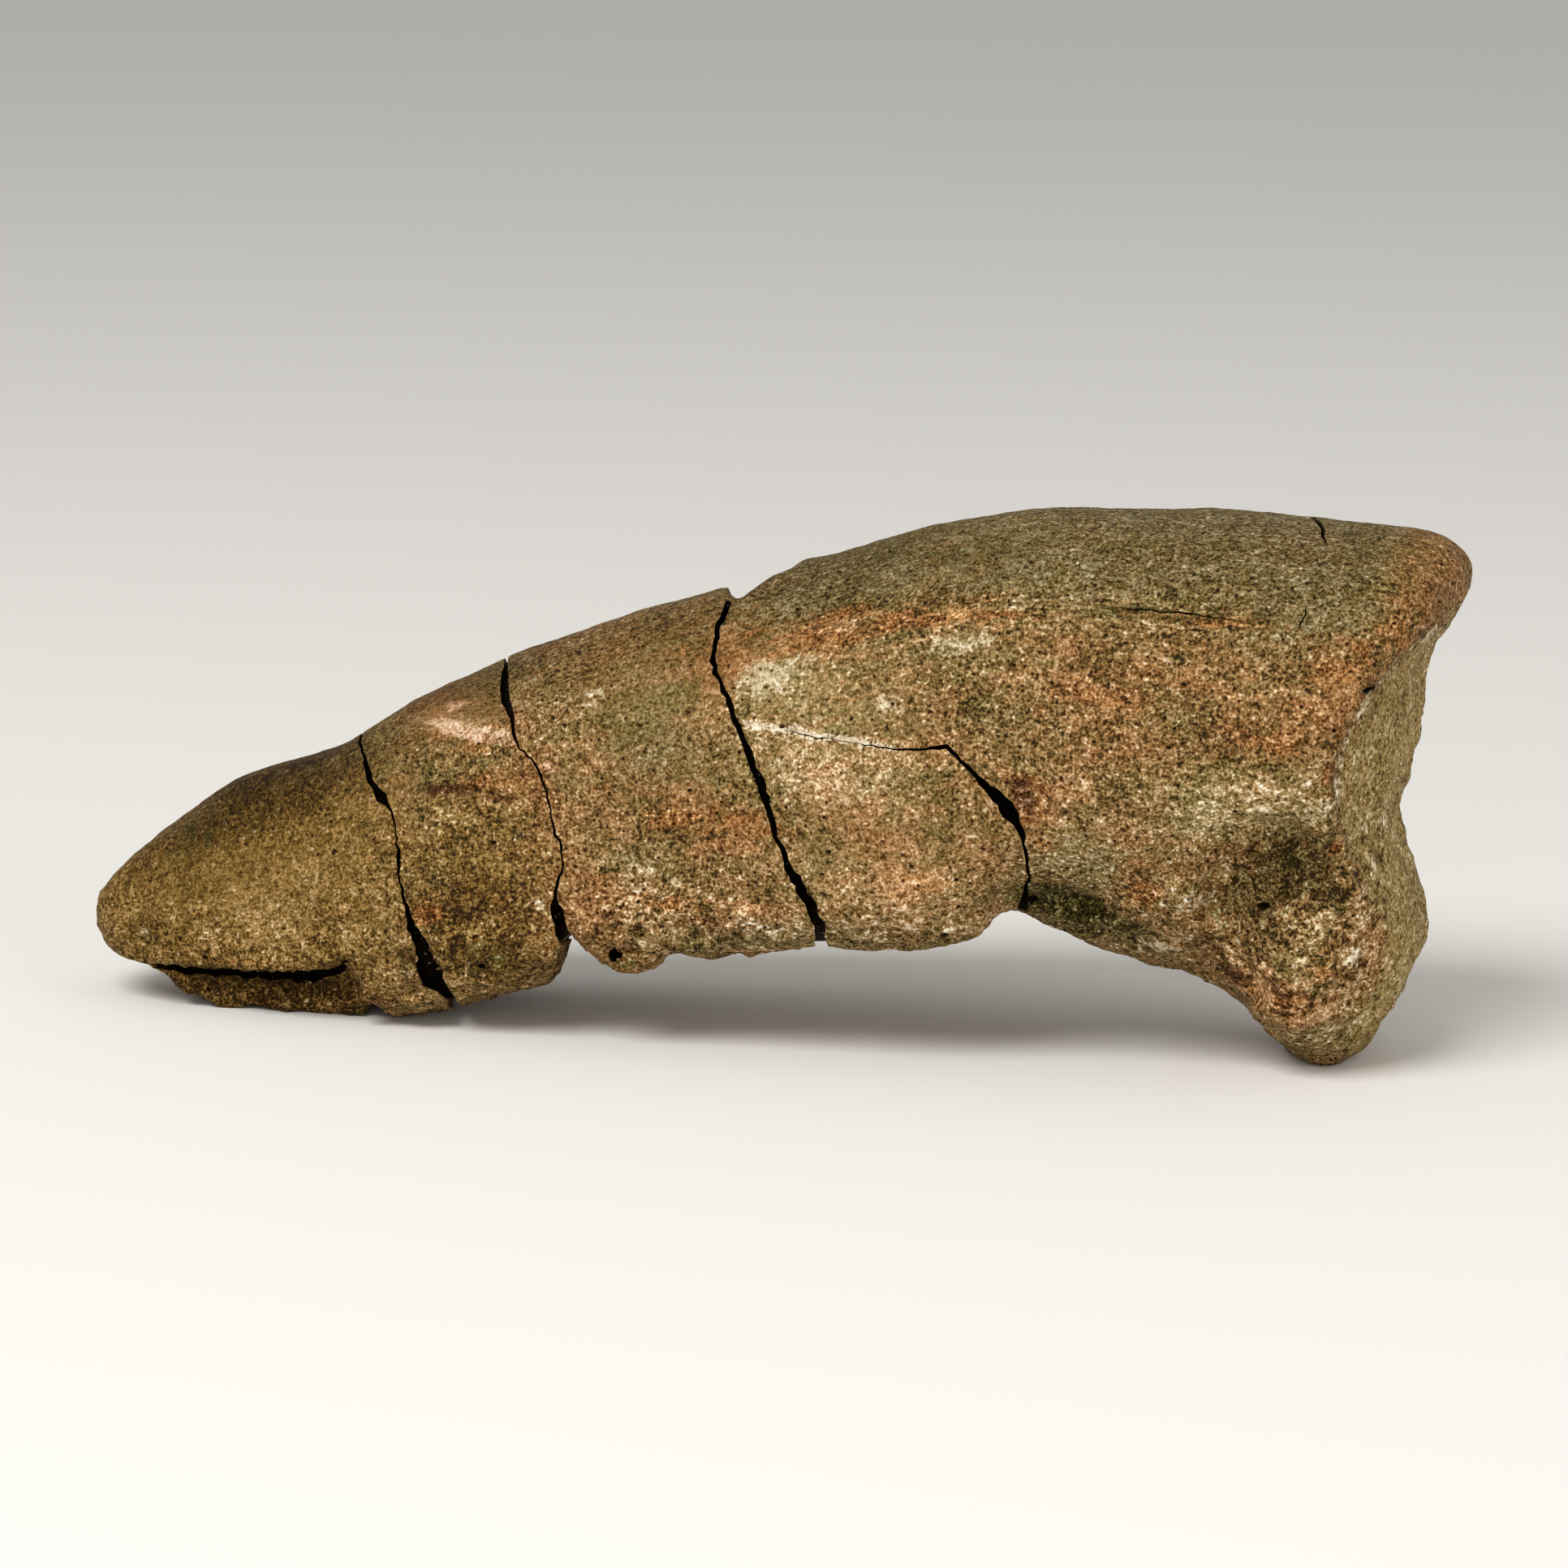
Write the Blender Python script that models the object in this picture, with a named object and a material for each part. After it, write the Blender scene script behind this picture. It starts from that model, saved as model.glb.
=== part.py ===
"""Foot claw of a dome-headed dinosaur: one mineralised bone, cracked across and mended.

The bone stands on its underside. The tip points to -X and the joint face to +X. Z = 0 is the surface
that it rests on, and the origin is on that surface, below the middle of the bone's box.
"""

import math

import bpy
from mathutils import Matrix, Vector

MM = 0.001

# Sections from the tip to the rim of the joint face, in millimetres. A section is a closed ring between
# its highest point (top_x, top_z) and its lowest point (low_x, low_z), widest at belly_z. The powers are
# those of a superellipse above and below the belly: 2 is round, 3 is boxy, under 2 is a wedge.
# bow is how far the ring's sides lie towards the tip.
SECTION_NAMES = ("top_x", "top_z", "low_x", "low_z", "half_width", "belly_z", "upper", "lower", "bow")
SECTIONS = (
    (-30.5, 4.8, -30.5, 3.0, 1.3, 3.9, 2.0, 2.0, 0.0),
    (-29.5, 6.0, -29.6, 1.9, 2.6, 3.6, 2.2, 2.2, 0.0),
    (-27.6, 7.6, -27.6, 0.7, 3.7, 3.2, 2.4, 2.6, 0.0),
    (-24.8, 9.6, -24.8, -0.2, 4.6, 2.9, 2.6, 2.8, 0.0),
    (-22.0, 10.9, -22.0, -0.3, 5.1, 2.9, 2.7, 2.8, 0.0),
    (-18.8, 12.0, -18.6, -0.3, 5.7, 3.1, 2.9, 2.8, 0.0),
    (-15.4, 14.2, -15.4, -0.2, 6.2, 3.5, 3.0, 2.8, 0.0),
    (-12.0, 15.7, -12.2, 0.8, 6.7, 4.6, 2.9, 2.7, 0.0),
    (-7.6, 17.5, -8.0, 2.2, 7.2, 6.0, 2.7, 2.6, 0.0),
    (-2.6, 19.1, -3.2, 3.1, 7.9, 7.4, 2.5, 2.6, 0.0),
    (2.4, 21.0, 2.0, 3.9, 8.4, 8.6, 2.4, 2.6, 0.0),
    (6.8, 22.5, 7.0, 4.3, 8.7, 9.4, 2.4, 2.5, 0.0),
    (10.0, 23.2, 10.7, 4.6, 8.8, 10.4, 2.4, 2.3, 0.0),
    (12.0, 23.45, 12.2, 5.5, 8.8, 11.5, 2.4, 1.9, 0.0),
    (14.6, 23.55, 15.0, 4.8, 8.9, 12.6, 2.4, 1.7, 0.1),
    (18.2, 23.6, 18.6, 3.8, 9.0, 13.2, 2.4, 1.6, 0.4),
    (22.4, 23.6, 21.8, 2.2, 9.2, 13.4, 2.4, 1.6, 0.9),
    (26.2, 23.4, 23.8, -0.1, 9.5, 13.2, 2.4, 1.6, 2.0),
    (28.9, 23.1, 26.2, -0.35, 9.6, 12.9, 2.3, 1.7, 3.2),
    (30.5, 22.3, 28.5, 2.9, 9.4, 12.7, 2.2, 1.9, 3.8),
    (30.8, 20.8, 29.5, 5.6, 8.9, 12.7, 2.2, 2.1, 3.9),
)
TIP_POINT = (-30.85, 0.0, 3.9)
RINGS_BETWEEN = 3
RING_POINTS = 44

# The joint face: two shallow cups side by side, with a ridge between them. These are the ridge's x at
# equal steps of z, from its lowest point to its highest.
FACE_RIDGE = ((29.5,), (28.9,), (28.2,), (28.5,), (28.9,), (29.6,), (30.8,))
FACE_RIDGE_Z = (5.6, 20.8)
FACE_CENTRE_Z = 12.4
FACE_CUP_DEPTH = 0.5
FACE_STEPS = (0.97, 0.91, 0.82, 0.68, 0.5, 0.32, 0.15)

# Hollows and swellings of both flanks: x, z, reach along x, reach along z, height outwards.
FLANK_FORMS = (
    (24.3, 9.7, 3.4, 2.8, -1.6),
    (21.2, 8.2, 2.4, 1.6, -0.5),
    (19.0, 7.2, 2.0, 1.8, 0.6),
    (25.6, 3.2, 3.2, 2.6, 0.7),
    (5.0, 6.6, 5.0, 2.0, 0.35),
    (-5.0, 5.6, 5.0, 1.8, 0.35),
)
# The groove of a blood vessel along each flank, from x, z to x, z.
GROOVE_START = (-16.5, 10.4)
GROOVE_END = (4.0, 10.8)
GROOVE_REACH = 1.1
GROOVE_DEPTH = 0.4

LUMP_SIZE = 5.0
LUMP_HEIGHT = 0.5

# The breaks run through the bone along this direction, and stay open to this depth below the surface.
BREAK_DIRECTION = Vector((-0.205, 0.963, -0.174))
BREAK_DEPTH = 2.4
BREAK_DEPTH_ABOVE = 1.4
BREAK_DEPTH_BELOW = 1.6

# A break's path is a row of x, z, width on the plane Y = face_y. reach is how far it runs along the
# direction above, before and after that plane. crest and keel are x, z where the edges have chipped away
# beyond the path's ends.
BREAKS = {
    "tip_break": {
        "face_y": -5.5,
        "reach": (-12.0, 24.0),
        "path": (
            (-17.3, 13.6, 0.20), (-16.9, 12.4, 0.16), (-16.7, 11.7, 0.22), (-16.5, 11.1, 0.32),
            (-15.9, 10.3, 0.52), (-15.5, 9.9, 0.14), (-15.2, 8.9, 0.12), (-15.1, 7.8, 0.18),
            (-15.0, 6.6, 0.14), (-14.7, 5.3, 0.22), (-14.4, 4.7, 0.41), (-14.1, 4.0, 0.46),
            (-13.9, 3.3, 0.78), (-13.8, 2.6, 0.90), (-13.6, 2.1, 0.50), (-13.1, 2.1, 0.16),
            (-12.8, 1.8, 0.14), (-12.7, 1.2, 0.22), (-12.6, -1.5, 0.40),
        ),
    },
    "second_break": {
        "face_y": -6.8,
        "reach": (-12.0, 26.0),
        "path": (
            (-10.2, 16.4, 0.48), (-10.1, 15.1, 0.36), (-9.8, 14.3, 0.22), (-9.4, 13.1, 0.13),
            (-8.8, 12.7, 0.13), (-8.3, 11.8, 0.13), (-7.9, 10.0, 0.13), (-7.5, 8.9, 0.15),
            (-7.4, 7.9, 0.12), (-7.7, 6.8, 0.16), (-7.7, 6.2, 0.48), (-7.4, 5.5, 0.52),
            (-7.3, 5.2, 0.50),
        ),
        "keel": (
            (-6.9, 4.9), (-6.4, 4.5), (-5.7, 4.0), (-4.9, 3.7), (-4.4, 3.4), (-3.8, -4.0), (-9.6, -4.0),
            (-8.8, 2.3), (-8.1, 2.7), (-7.6, 3.4), (-7.55, 4.4),
        ),
    },
    "third_break": {
        "face_y": -8.0,
        "reach": (-12.0, 30.0),
        "path": (
            (-0.2, 19.5, 0.34), (-0.4, 18.8, 0.26), (-0.5, 17.7, 0.25), (-0.2, 16.6, 0.22),
            (0.1, 16.0, 0.25), (0.8, 14.2, 0.26), (1.2, 13.2, 0.32), (1.6, 12.4, 0.43),
            (2.0, 11.2, 0.30), (2.3, 10.0, 0.22), (2.7, 9.2, 0.28), (3.0, 8.4, 0.43),
            (3.5, 7.8, 0.43), (4.3, 6.3, 0.43), (4.5, 5.2, 0.60), (4.7, 1.0, 0.80),
        ),
        "crest": (
            (-0.3, 19.7), (0.0, 20.0), (0.4, 20.35), (0.1, 20.9), (0.1, 24.0), (3.6, 24.0), (3.2, 22.0),
            (2.1, 21.35), (1.4, 20.8), (0.9, 20.3), (0.35, 19.9),
        ),
    },
    "wedge_break": {
        "face_y": -8.2,
        "reach": (-8.0, 8.0),
        "path": (
            (0.6, 14.8, 0.12), (2.7, 14.7, 0.12), (5.0, 14.4, 0.12), (7.7, 14.1, 0.12),
            (9.8, 14.3, 0.12), (10.7, 13.4, 0.14), (11.3, 12.9, 0.22), (11.8, 12.4, 0.42),
            (12.3, 11.9, 0.50), (12.7, 11.4, 0.34), (13.1, 10.4, 0.16), (13.3, 9.6, 0.17),
            (13.4, 8.9, 0.14), (13.0, 8.0, 0.12),
        ),
    },
    "lip_nick": {
        "face_y": -1.0,
        "reach": (-8.0, 8.0),
        "path": ((24.5, 25.5, 0.20), (24.6, 23.6, 0.20), (24.6, 22.8, 0.12)),
    },
}

# Places where an edge has chipped away, as x, z on the plane Y = face_y. reach is as for a break.
CHIPS = {
    "layer_notch": {
        "face_y": -4.5,
        "reach": (-6.0, 5.0),
        "outline": ((-16.9, 1.1), (-16.2, 0.9), (-15.7, 0.0), (-15.6, -2.0), (-16.9, -2.0)),
    },
    # The layer that has flaked off the near flank, below the tip.
    "spall": {
        "face_y": -4.5,
        "reach": (-8.0, 1.0),
        "outline": (
            (-29.5, 2.7), (-28.3, 2.6), (-27.3, 2.2), (-25.9, 2.15), (-24.7, 2.05), (-23.4, 2.15),
            (-22.4, 2.0), (-21.1, 2.1), (-19.9, 2.2), (-18.9, 2.5), (-17.9, 2.6), (-17.4, 2.3),
            (-17.1, 1.6), (-16.9, 1.0), (-16.9, -2.0), (-29.5, -2.0),
        ),
    },
}

# The hollow under the base, behind the wedge that has broken loose. It stops at the wedge's edge.
HOLLOW_CENTRE = (14.4, -8.4, 5.6)
HOLLOW_SIZE = (8.0, 8.0, 6.0)
HOLLOW_LIMIT = {
    "face_y": -8.0,
    "reach": (-8.0, 8.0),
    "outline": (
        (13.5, 12.0), (13.4, 9.0), (13.2, 8.7), (13.0, 8.2), (12.9, 7.8), (12.5, 7.1), (12.2, 6.8),
        (11.7, 6.4), (11.4, 5.8), (11.2, 1.0), (22.0, 1.0), (22.0, 12.0),
    ),
}

HOLLOW_SEGMENTS = 24
HOLLOW_RINGS = 12

GROUND_SIZE = (80.0, 40.0, 8.0)
THINNEST = 0.3
SHORTEST = 1.0
CAP_WELD = 0.000001
BONE_COLOUR = (0.34, 0.225, 0.105, 1.0)
BONE_ROUGHNESS = 0.5


def collection_of(name):
    """A new collection in the scene."""
    collection = bpy.data.collections.new(name)
    bpy.context.scene.collection.children.link(collection)
    return collection


def smooth_row(rows, t):
    """The row at t of a smooth curve through rows that stand one unit apart."""
    i = min(int(t), len(rows) - 2)
    u = t - i
    here, after = rows[i], rows[i + 1]
    before = rows[max(i - 1, 0)]
    beyond = rows[min(i + 2, len(rows) - 1)]
    row = []
    for a, b, c, d in zip(before, here, after, beyond):
        row.append(b + 0.5 * u * (c - a + u * (2 * a - 5 * b + 4 * c - d + u * (3 * (b - c) + d - a))))
    return row


def flank_height(x, z):
    """How far the flank stands out at x, z beyond its plain section."""
    height = 0.0
    for centre_x, centre_z, reach_x, reach_z, rise in FLANK_FORMS:
        away = ((x - centre_x) / reach_x) ** 2 + ((z - centre_z) / reach_z) ** 2
        height += rise * math.exp(-away)
    along = (x - GROOVE_START[0]) / (GROOVE_END[0] - GROOVE_START[0])
    if 0.0 < along < 1.0:
        groove_z = GROOVE_START[1] + along * (GROOVE_END[1] - GROOVE_START[1])
        fade = math.sin(math.pi * along) ** 0.5
        height -= GROOVE_DEPTH * fade * math.exp(-(((z - groove_z) / GROOVE_REACH) ** 2))
    return height


def ring_at(t, insets):
    """The points of the section at t, in millimetres, drawn in by insets at the sides, top and bottom."""
    section = dict(zip(SECTION_NAMES, smooth_row(SECTIONS, t)))
    in_side, in_top, in_low = insets
    half_width = max(section["half_width"] - in_side, THINNEST)
    top_z = section["top_z"] - in_top
    low_z = section["low_z"] + in_low
    if top_z - low_z < SHORTEST:
        middle = (section["top_z"] + section["low_z"]) / 2
        top_z, low_z = middle + SHORTEST / 2, middle - SHORTEST / 2
    belly_z = min(max(section["belly_z"], low_z + THINNEST), top_z - THINNEST)
    points = []
    for i in range(RING_POINTS):
        angle = 2 * math.pi * i / RING_POINTS
        side, rise = math.sin(angle), math.cos(angle)
        if rise > 0:
            power, span = section["upper"], top_z - belly_z
        else:
            power, span = section["lower"], belly_z - low_z
        z = belly_z + math.copysign(span * abs(rise) ** (2 / power), rise)
        up = (z - low_z) / (top_z - low_z)
        x = section["low_x"] + up * (section["top_x"] - section["low_x"])
        x -= section["bow"] * 4 * up * (1 - up)
        out = half_width * abs(side) ** (2 / power) + flank_height(x, z) * abs(side)
        points.append(Vector((x, -math.copysign(out, side), z)))
    return points


def ridge_x(z):
    """How far the ridge of the joint face stands out at z."""
    low, high = FACE_RIDGE_Z
    t = min(max((z - low) / (high - low), 0.0), 1.0) * (len(FACE_RIDGE) - 1)
    return smooth_row(FACE_RIDGE, t)[0]


def face_ring(rim, share):
    """A ring of the joint face, at this share of the way from its centre to its rim."""
    ring = []
    for i, point in enumerate(rim):
        z = FACE_CENTRE_Z + share * (point.z - FACE_CENTRE_Z)
        x = ridge_x(z) + (point.x - ridge_x(point.z)) * share ** 3
        x -= FACE_CUP_DEPTH * 4 * share * (1 - share) * abs(math.sin(2 * math.pi * i / RING_POINTS))
        ring.append(Vector((x, share * point.y, z)))
    return ring


def loft(name, insets):
    """The bone as a closed mesh: a point at the tip, the sections, and the joint face."""
    steps = (len(SECTIONS) - 1) * RINGS_BETWEEN
    rings = [ring_at(i / RINGS_BETWEEN, insets) for i in range(steps + 1)]
    rings += [face_ring(rings[steps], share) for share in FACE_STEPS]
    points = [point for ring in rings for point in ring]
    centre = Vector((ridge_x(FACE_CENTRE_Z), 0.0, FACE_CENTRE_Z))
    points += [Vector(TIP_POINT) + Vector((insets[0], 0, 0)), centre]
    tip, middle = len(points) - 2, len(points) - 1
    last = (len(rings) - 1) * RING_POINTS
    faces = []
    for i in range(RING_POINTS):
        j = (i + 1) % RING_POINTS
        faces.append((tip, j, i))
        faces.append((middle, last + i, last + j))
        for start in range(0, last, RING_POINTS):
            faces.append((start + j, start + RING_POINTS + j, start + RING_POINTS + i, start + i))
    mesh = bpy.data.meshes.new(name)
    mesh.from_pydata([point * MM for point in points], [], faces)
    return bpy.data.objects.new(name, mesh)


def helper(obj, cutters):
    """Keeps a cutter out of the render."""
    obj.hide_render = True
    obj.display_type = "WIRE"
    cutters.objects.link(obj)
    return obj


def prism(name, outline, face_y, reach, cutters):
    """A closed solid with this outline of x, z on the plane Y = face_y. It runs along the breaks'
    direction over its reach, which is measured from that plane."""
    near, far = reach
    curve = bpy.data.curves.new(name, "CURVE")
    curve.dimensions = "2D"
    curve.fill_mode = "BOTH"
    curve.extrude = (far - near) / 2 * MM
    spline = curve.splines.new("POLY")
    spline.points.add(len(outline) - 1)
    spline.use_cyclic_u = True
    for point, (x, z) in zip(spline.points, outline):
        point.co = (x * MM, z * MM, 0.0, 1.0)
    drawn = bpy.data.objects.new(name + "_outline", curve)
    bpy.context.scene.collection.objects.link(drawn)
    graph = bpy.context.evaluated_depsgraph_get()
    mesh = bpy.data.meshes.new_from_object(drawn.evaluated_get(graph))
    bpy.data.objects.remove(drawn)
    away = -BREAK_DIRECTION
    middle = Vector((0.0, face_y, 0.0)) - away * (near + far) / 2
    place = Matrix(((1, 0, away.x), (0, 0, away.y), (0, 1, away.z))).to_4x4()
    place.translation = middle * MM
    mesh.transform(place)
    solid = bpy.data.objects.new(name, mesh)
    helper(solid, cutters)
    weld = solid.modifiers.new("close_caps", "WELD")
    weld.merge_threshold = CAP_WELD
    return solid


def break_outline(path, crest=(), keel=()):
    """The outline of an open break: down one side of its path, back up the other, and round its chips."""
    left, right = [], []
    for i, (x, z, width) in enumerate(path):
        before, after = path[max(i - 1, 0)], path[min(i + 1, len(path) - 1)]
        along = Vector((after[0] - before[0], after[1] - before[1])).normalized()
        across = Vector((-along.y, along.x)) * width / 2
        left.append((x + across.x, z + across.y))
        right.append((x - across.x, z - across.y))
    return left + list(keel) + right[::-1] + list(crest)


def boolean(obj, other, operation="DIFFERENCE"):
    """Takes the other solid away from obj, or keeps what they share."""
    cut = obj.modifiers.new(operation.lower() + "_" + other.name, "BOOLEAN")
    cut.operation = operation
    cut.solver = "EXACT"
    cut.object = other


def ground(cutters):
    """A block whose top is the surface that the bone rests on."""
    bpy.ops.mesh.primitive_cube_add(size=1.0, location=(0.0, 0.0, -GROUND_SIZE[2] / 2 * MM))
    block = bpy.context.active_object
    block.name = "ground"
    block.data.transform(Matrix.Diagonal([size * MM for size in GROUND_SIZE] + [1.0]))
    block.users_collection[0].objects.unlink(block)
    return helper(block, cutters)


def hollow(cutters):
    """A rounded cutter for the hollow under the base, ending at the wedge."""
    bpy.ops.mesh.primitive_uv_sphere_add(segments=HOLLOW_SEGMENTS, ring_count=HOLLOW_RINGS, radius=0.5)
    ball = bpy.context.active_object
    ball.name = "hollow"
    ball.data.transform(Matrix.Diagonal([size * MM for size in HOLLOW_SIZE] + [1.0]))
    ball.location = Vector(HOLLOW_CENTRE) * MM
    ball.users_collection[0].objects.unlink(ball)
    helper(ball, cutters)
    limit = HOLLOW_LIMIT
    edge = prism("hollow_limit", limit["outline"], limit["face_y"], limit["reach"], cutters)
    boolean(ball, edge, "INTERSECT")
    return ball


def bone_material():
    material = bpy.data.materials.new("fossil_bone")
    material.use_nodes = True
    shader = material.node_tree.nodes["Principled BSDF"]
    shader.inputs["Base Color"].default_value = BONE_COLOUR
    shader.inputs["Roughness"].default_value = BONE_ROUGHNESS
    shader.inputs["Metallic"].default_value = 0.0
    return material


def lumps(obj):
    """The slow unevenness of a bone's surface."""
    texture = bpy.data.textures.new("bone_lumps", "CLOUDS")
    texture.noise_scale = LUMP_SIZE * MM
    texture.noise_depth = 1
    displace = obj.modifiers.new("lumps", "DISPLACE")
    displace.texture = texture
    displace.texture_coords = "LOCAL"
    displace.mid_level = 0.5
    displace.strength = LUMP_HEIGHT * MM


def build():
    for obj in list(bpy.data.objects):
        bpy.data.objects.remove(obj)
    parts = collection_of("fossil_foot_claw")
    cutters = collection_of("cutters")

    claw = loft("claw", (0.0, 0.0, 0.0))
    parts.objects.link(claw)
    claw.data.materials.append(bone_material())
    claw.data.shade_smooth()
    lumps(claw)

    middle = helper(loft("joined_middle", (BREAK_DEPTH, BREAK_DEPTH_ABOVE, BREAK_DEPTH_BELOW)), cutters)
    for name, given in BREAKS.items():
        outline = break_outline(given["path"], given.get("crest", ()), given.get("keel", ()))
        cutter = prism(name, outline, given["face_y"], given["reach"], cutters)
        boolean(cutter, middle)
        boolean(claw, cutter)
    for name, given in CHIPS.items():
        boolean(claw, prism(name, given["outline"], given["face_y"], given["reach"], cutters))
    boolean(claw, hollow(cutters))
    boolean(claw, ground(cutters))


build()
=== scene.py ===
import math
from random import Random

import bpy
import numpy as np
from mathutils import Matrix, Vector, noise
from mathutils.bvhtree import BVHTree


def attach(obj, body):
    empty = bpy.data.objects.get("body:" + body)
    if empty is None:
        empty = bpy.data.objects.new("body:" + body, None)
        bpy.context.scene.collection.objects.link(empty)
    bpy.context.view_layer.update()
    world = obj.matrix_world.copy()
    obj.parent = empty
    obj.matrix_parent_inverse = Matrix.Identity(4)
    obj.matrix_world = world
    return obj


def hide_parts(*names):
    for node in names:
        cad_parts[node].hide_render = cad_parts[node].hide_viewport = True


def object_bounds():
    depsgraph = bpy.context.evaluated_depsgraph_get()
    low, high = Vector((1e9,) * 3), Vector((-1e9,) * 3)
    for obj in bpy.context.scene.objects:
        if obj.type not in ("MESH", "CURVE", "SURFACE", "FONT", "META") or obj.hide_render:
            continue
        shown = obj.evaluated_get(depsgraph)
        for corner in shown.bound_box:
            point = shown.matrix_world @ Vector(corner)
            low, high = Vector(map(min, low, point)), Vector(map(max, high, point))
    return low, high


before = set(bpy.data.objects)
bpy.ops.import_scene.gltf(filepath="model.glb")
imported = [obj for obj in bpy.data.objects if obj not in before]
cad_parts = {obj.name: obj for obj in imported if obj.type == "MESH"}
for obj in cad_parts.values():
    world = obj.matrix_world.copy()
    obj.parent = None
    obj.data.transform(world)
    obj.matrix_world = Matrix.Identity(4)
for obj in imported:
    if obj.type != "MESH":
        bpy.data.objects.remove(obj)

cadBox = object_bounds()  # the solid's box, before anything is added

mm = 0.001


# small helpers


def linearColour(hexColour):
    # sRGB hex to linear colour, for shader sockets
    parts = [int(hexColour[i:i + 2], 16) / 255 for i in (1, 3, 5)]
    return [p / 12.92 if p <= 0.04045 else ((p + 0.055) / 1.055) ** 2.4 for p in parts] + [1.0]


def selectOnly(thing):
    bpy.ops.object.select_all(action="DESELECT")
    thing.select_set(True)
    bpy.context.view_layer.objects.active = thing


def applyModifier(thing, kind, **settings):
    selectOnly(thing)
    modifier = thing.modifiers.new(kind.title(), kind)
    for name, value in settings.items():
        setattr(modifier, name, value)
    bpy.ops.object.modifier_apply(modifier=modifier.name)


def newObject(name, data):
    thing = bpy.data.objects.new(name, data)
    bpy.context.scene.collection.objects.link(thing)
    return thing


def readPoints(thing):
    points = np.empty(len(thing.data.vertices) * 3)
    thing.data.vertices.foreach_get("co", points)
    return points.reshape(-1, 3) / mm


def writePoints(thing, points):
    thing.data.vertices.foreach_set("co", (points * mm).ravel())
    thing.data.update()


def readNormals(thing):
    normals = np.empty(len(thing.data.vertices) * 3)
    thing.data.vertices.foreach_get("normal", normals)
    return normals.reshape(-1, 3)


def ramp(value, start, end):
    # 0 before start, 1 after end, smooth between; start may be the larger one
    t = np.clip((value - start) / (end - start), 0, 1)
    return t * t * (3 - 2 * t)


def addNode(tree, kind, inputs=None, out=0, stops=(), **settings):
    # inputs: socket name or number, to a value or to the output that is linked to it
    # stops: places and colours of a colour ramp, its two ends first
    node = tree.nodes.new("ShaderNode" + kind)
    for name, value in settings.items():
        setattr(node, name, value)
    for key, value in (inputs or {}).items():
        if isinstance(value, bpy.types.NodeSocket):
            tree.links.new(value, node.inputs[key])
        else:
            node.inputs[key].default_value = value
    for i, (place, colour) in enumerate(stops):
        elements = node.color_ramp.elements
        element = elements[i] if i < 2 else elements.new(place)
        element.position, element.color = place, linearColour(colour)
    return node.outputs[out] if node.outputs else node


# camera: the photograph's angle

cameraView = {
    "azimuth": 12.0,  # degrees, towards the joint face
    "elevation": 10.0,
    "roll": 0.7,
    "distance": 260.0,  # mm
    "target": (0.95, 0.0, 10.9),
    "lens": 135.0,
    "sensor": 36.0,
    "clip": (0.01, 20),  # m
}

swing, tilt = math.radians(cameraView["azimuth"]), math.radians(cameraView["elevation"])
viewForward = Vector((
    -math.sin(swing) * math.cos(tilt), math.cos(swing) * math.cos(tilt), -math.sin(tilt),
))
levelRight = Vector((math.cos(swing), math.sin(swing), 0))
levelUp = levelRight.cross(viewForward)
roll = math.radians(cameraView["roll"])
viewRight = levelRight * math.cos(roll) + levelUp * math.sin(roll)
viewUp = levelUp * math.cos(roll) - levelRight * math.sin(roll)
cameraData = bpy.data.cameras.new("copyStandCamera")
cameraData.lens, cameraData.sensor_width = cameraView["lens"], cameraView["sensor"]
cameraData.clip_start, cameraData.clip_end = cameraView["clip"]
camera = newObject("copyStandCamera", cameraData)
camera.matrix_world = Matrix.Translation(
    (Vector(cameraView["target"]) - viewForward * cameraView["distance"]) * mm
) @ Matrix((viewRight, viewUp, -viewForward)).transposed().to_4x4()
bpy.context.scene.camera = camera
print("camera set")


# cutters: flat outlines laid across the line of sight and pulled along it

breakDirection = Vector((-0.205, 0.963, -0.174))  # the photograph's line of sight, rounded
# for cuts that say nothing else, in mm: before and behind their plane, and off their line
cutHabits = {"start": 6.0, "depth": 26.0, "wiggle": 0.05}
widthSpread = (0.75, 1.25)  # how much narrower and wider a slit gets along its path
crumpleFineness = 3.0  # how closely the crumples of a lump follow one another


def slidTo(points, faceY):
    # x and z of each point once it is slid along the line of sight to the plane y = faceY
    far = (points[:, 1] - faceY) / breakDirection.y
    seenX = points[:, 0] - far * breakDirection.x
    seenZ = points[:, 2] - far * breakDirection.z
    return np.column_stack((seenX, seenZ))


def finePath(rows, step, wiggle, dice):
    # points every step mm along rows of x, z, width, each pushed off the line a little
    made = []
    for (x0, z0, w0), (x1, z1, w1) in zip(rows, rows[1:]):
        length = math.hypot(x1 - x0, z1 - z0)
        count = max(1, round(length / step))
        for i in range(count):
            t = i / count
            push = dice.uniform(-wiggle, wiggle)
            made.append((
                x0 + (x1 - x0) * t - (z1 - z0) / length * push,
                z0 + (z1 - z0) * t + (x1 - x0) / length * push,
                (w0 + (w1 - w0) * t) * dice.uniform(*widthSpread),
            ))
    made.append(rows[-1])
    return made


def slitOutline(rows):
    # both sides of a slit as one closed outline
    left, right = [], []
    for i, (x, z, width) in enumerate(rows):
        x0, z0 = rows[max(i - 1, 0)][:2]
        x1, z1 = rows[min(i + 1, len(rows) - 1)][:2]
        length = math.hypot(x1 - x0, z1 - z0)
        sideX, sideZ = -(z1 - z0) / length * width / 2, (x1 - x0) / length * width / 2
        left.append((x + sideX, z + sideZ))
        right.append((x - sideX, z - sideZ))
    return left + right[::-1]


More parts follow.
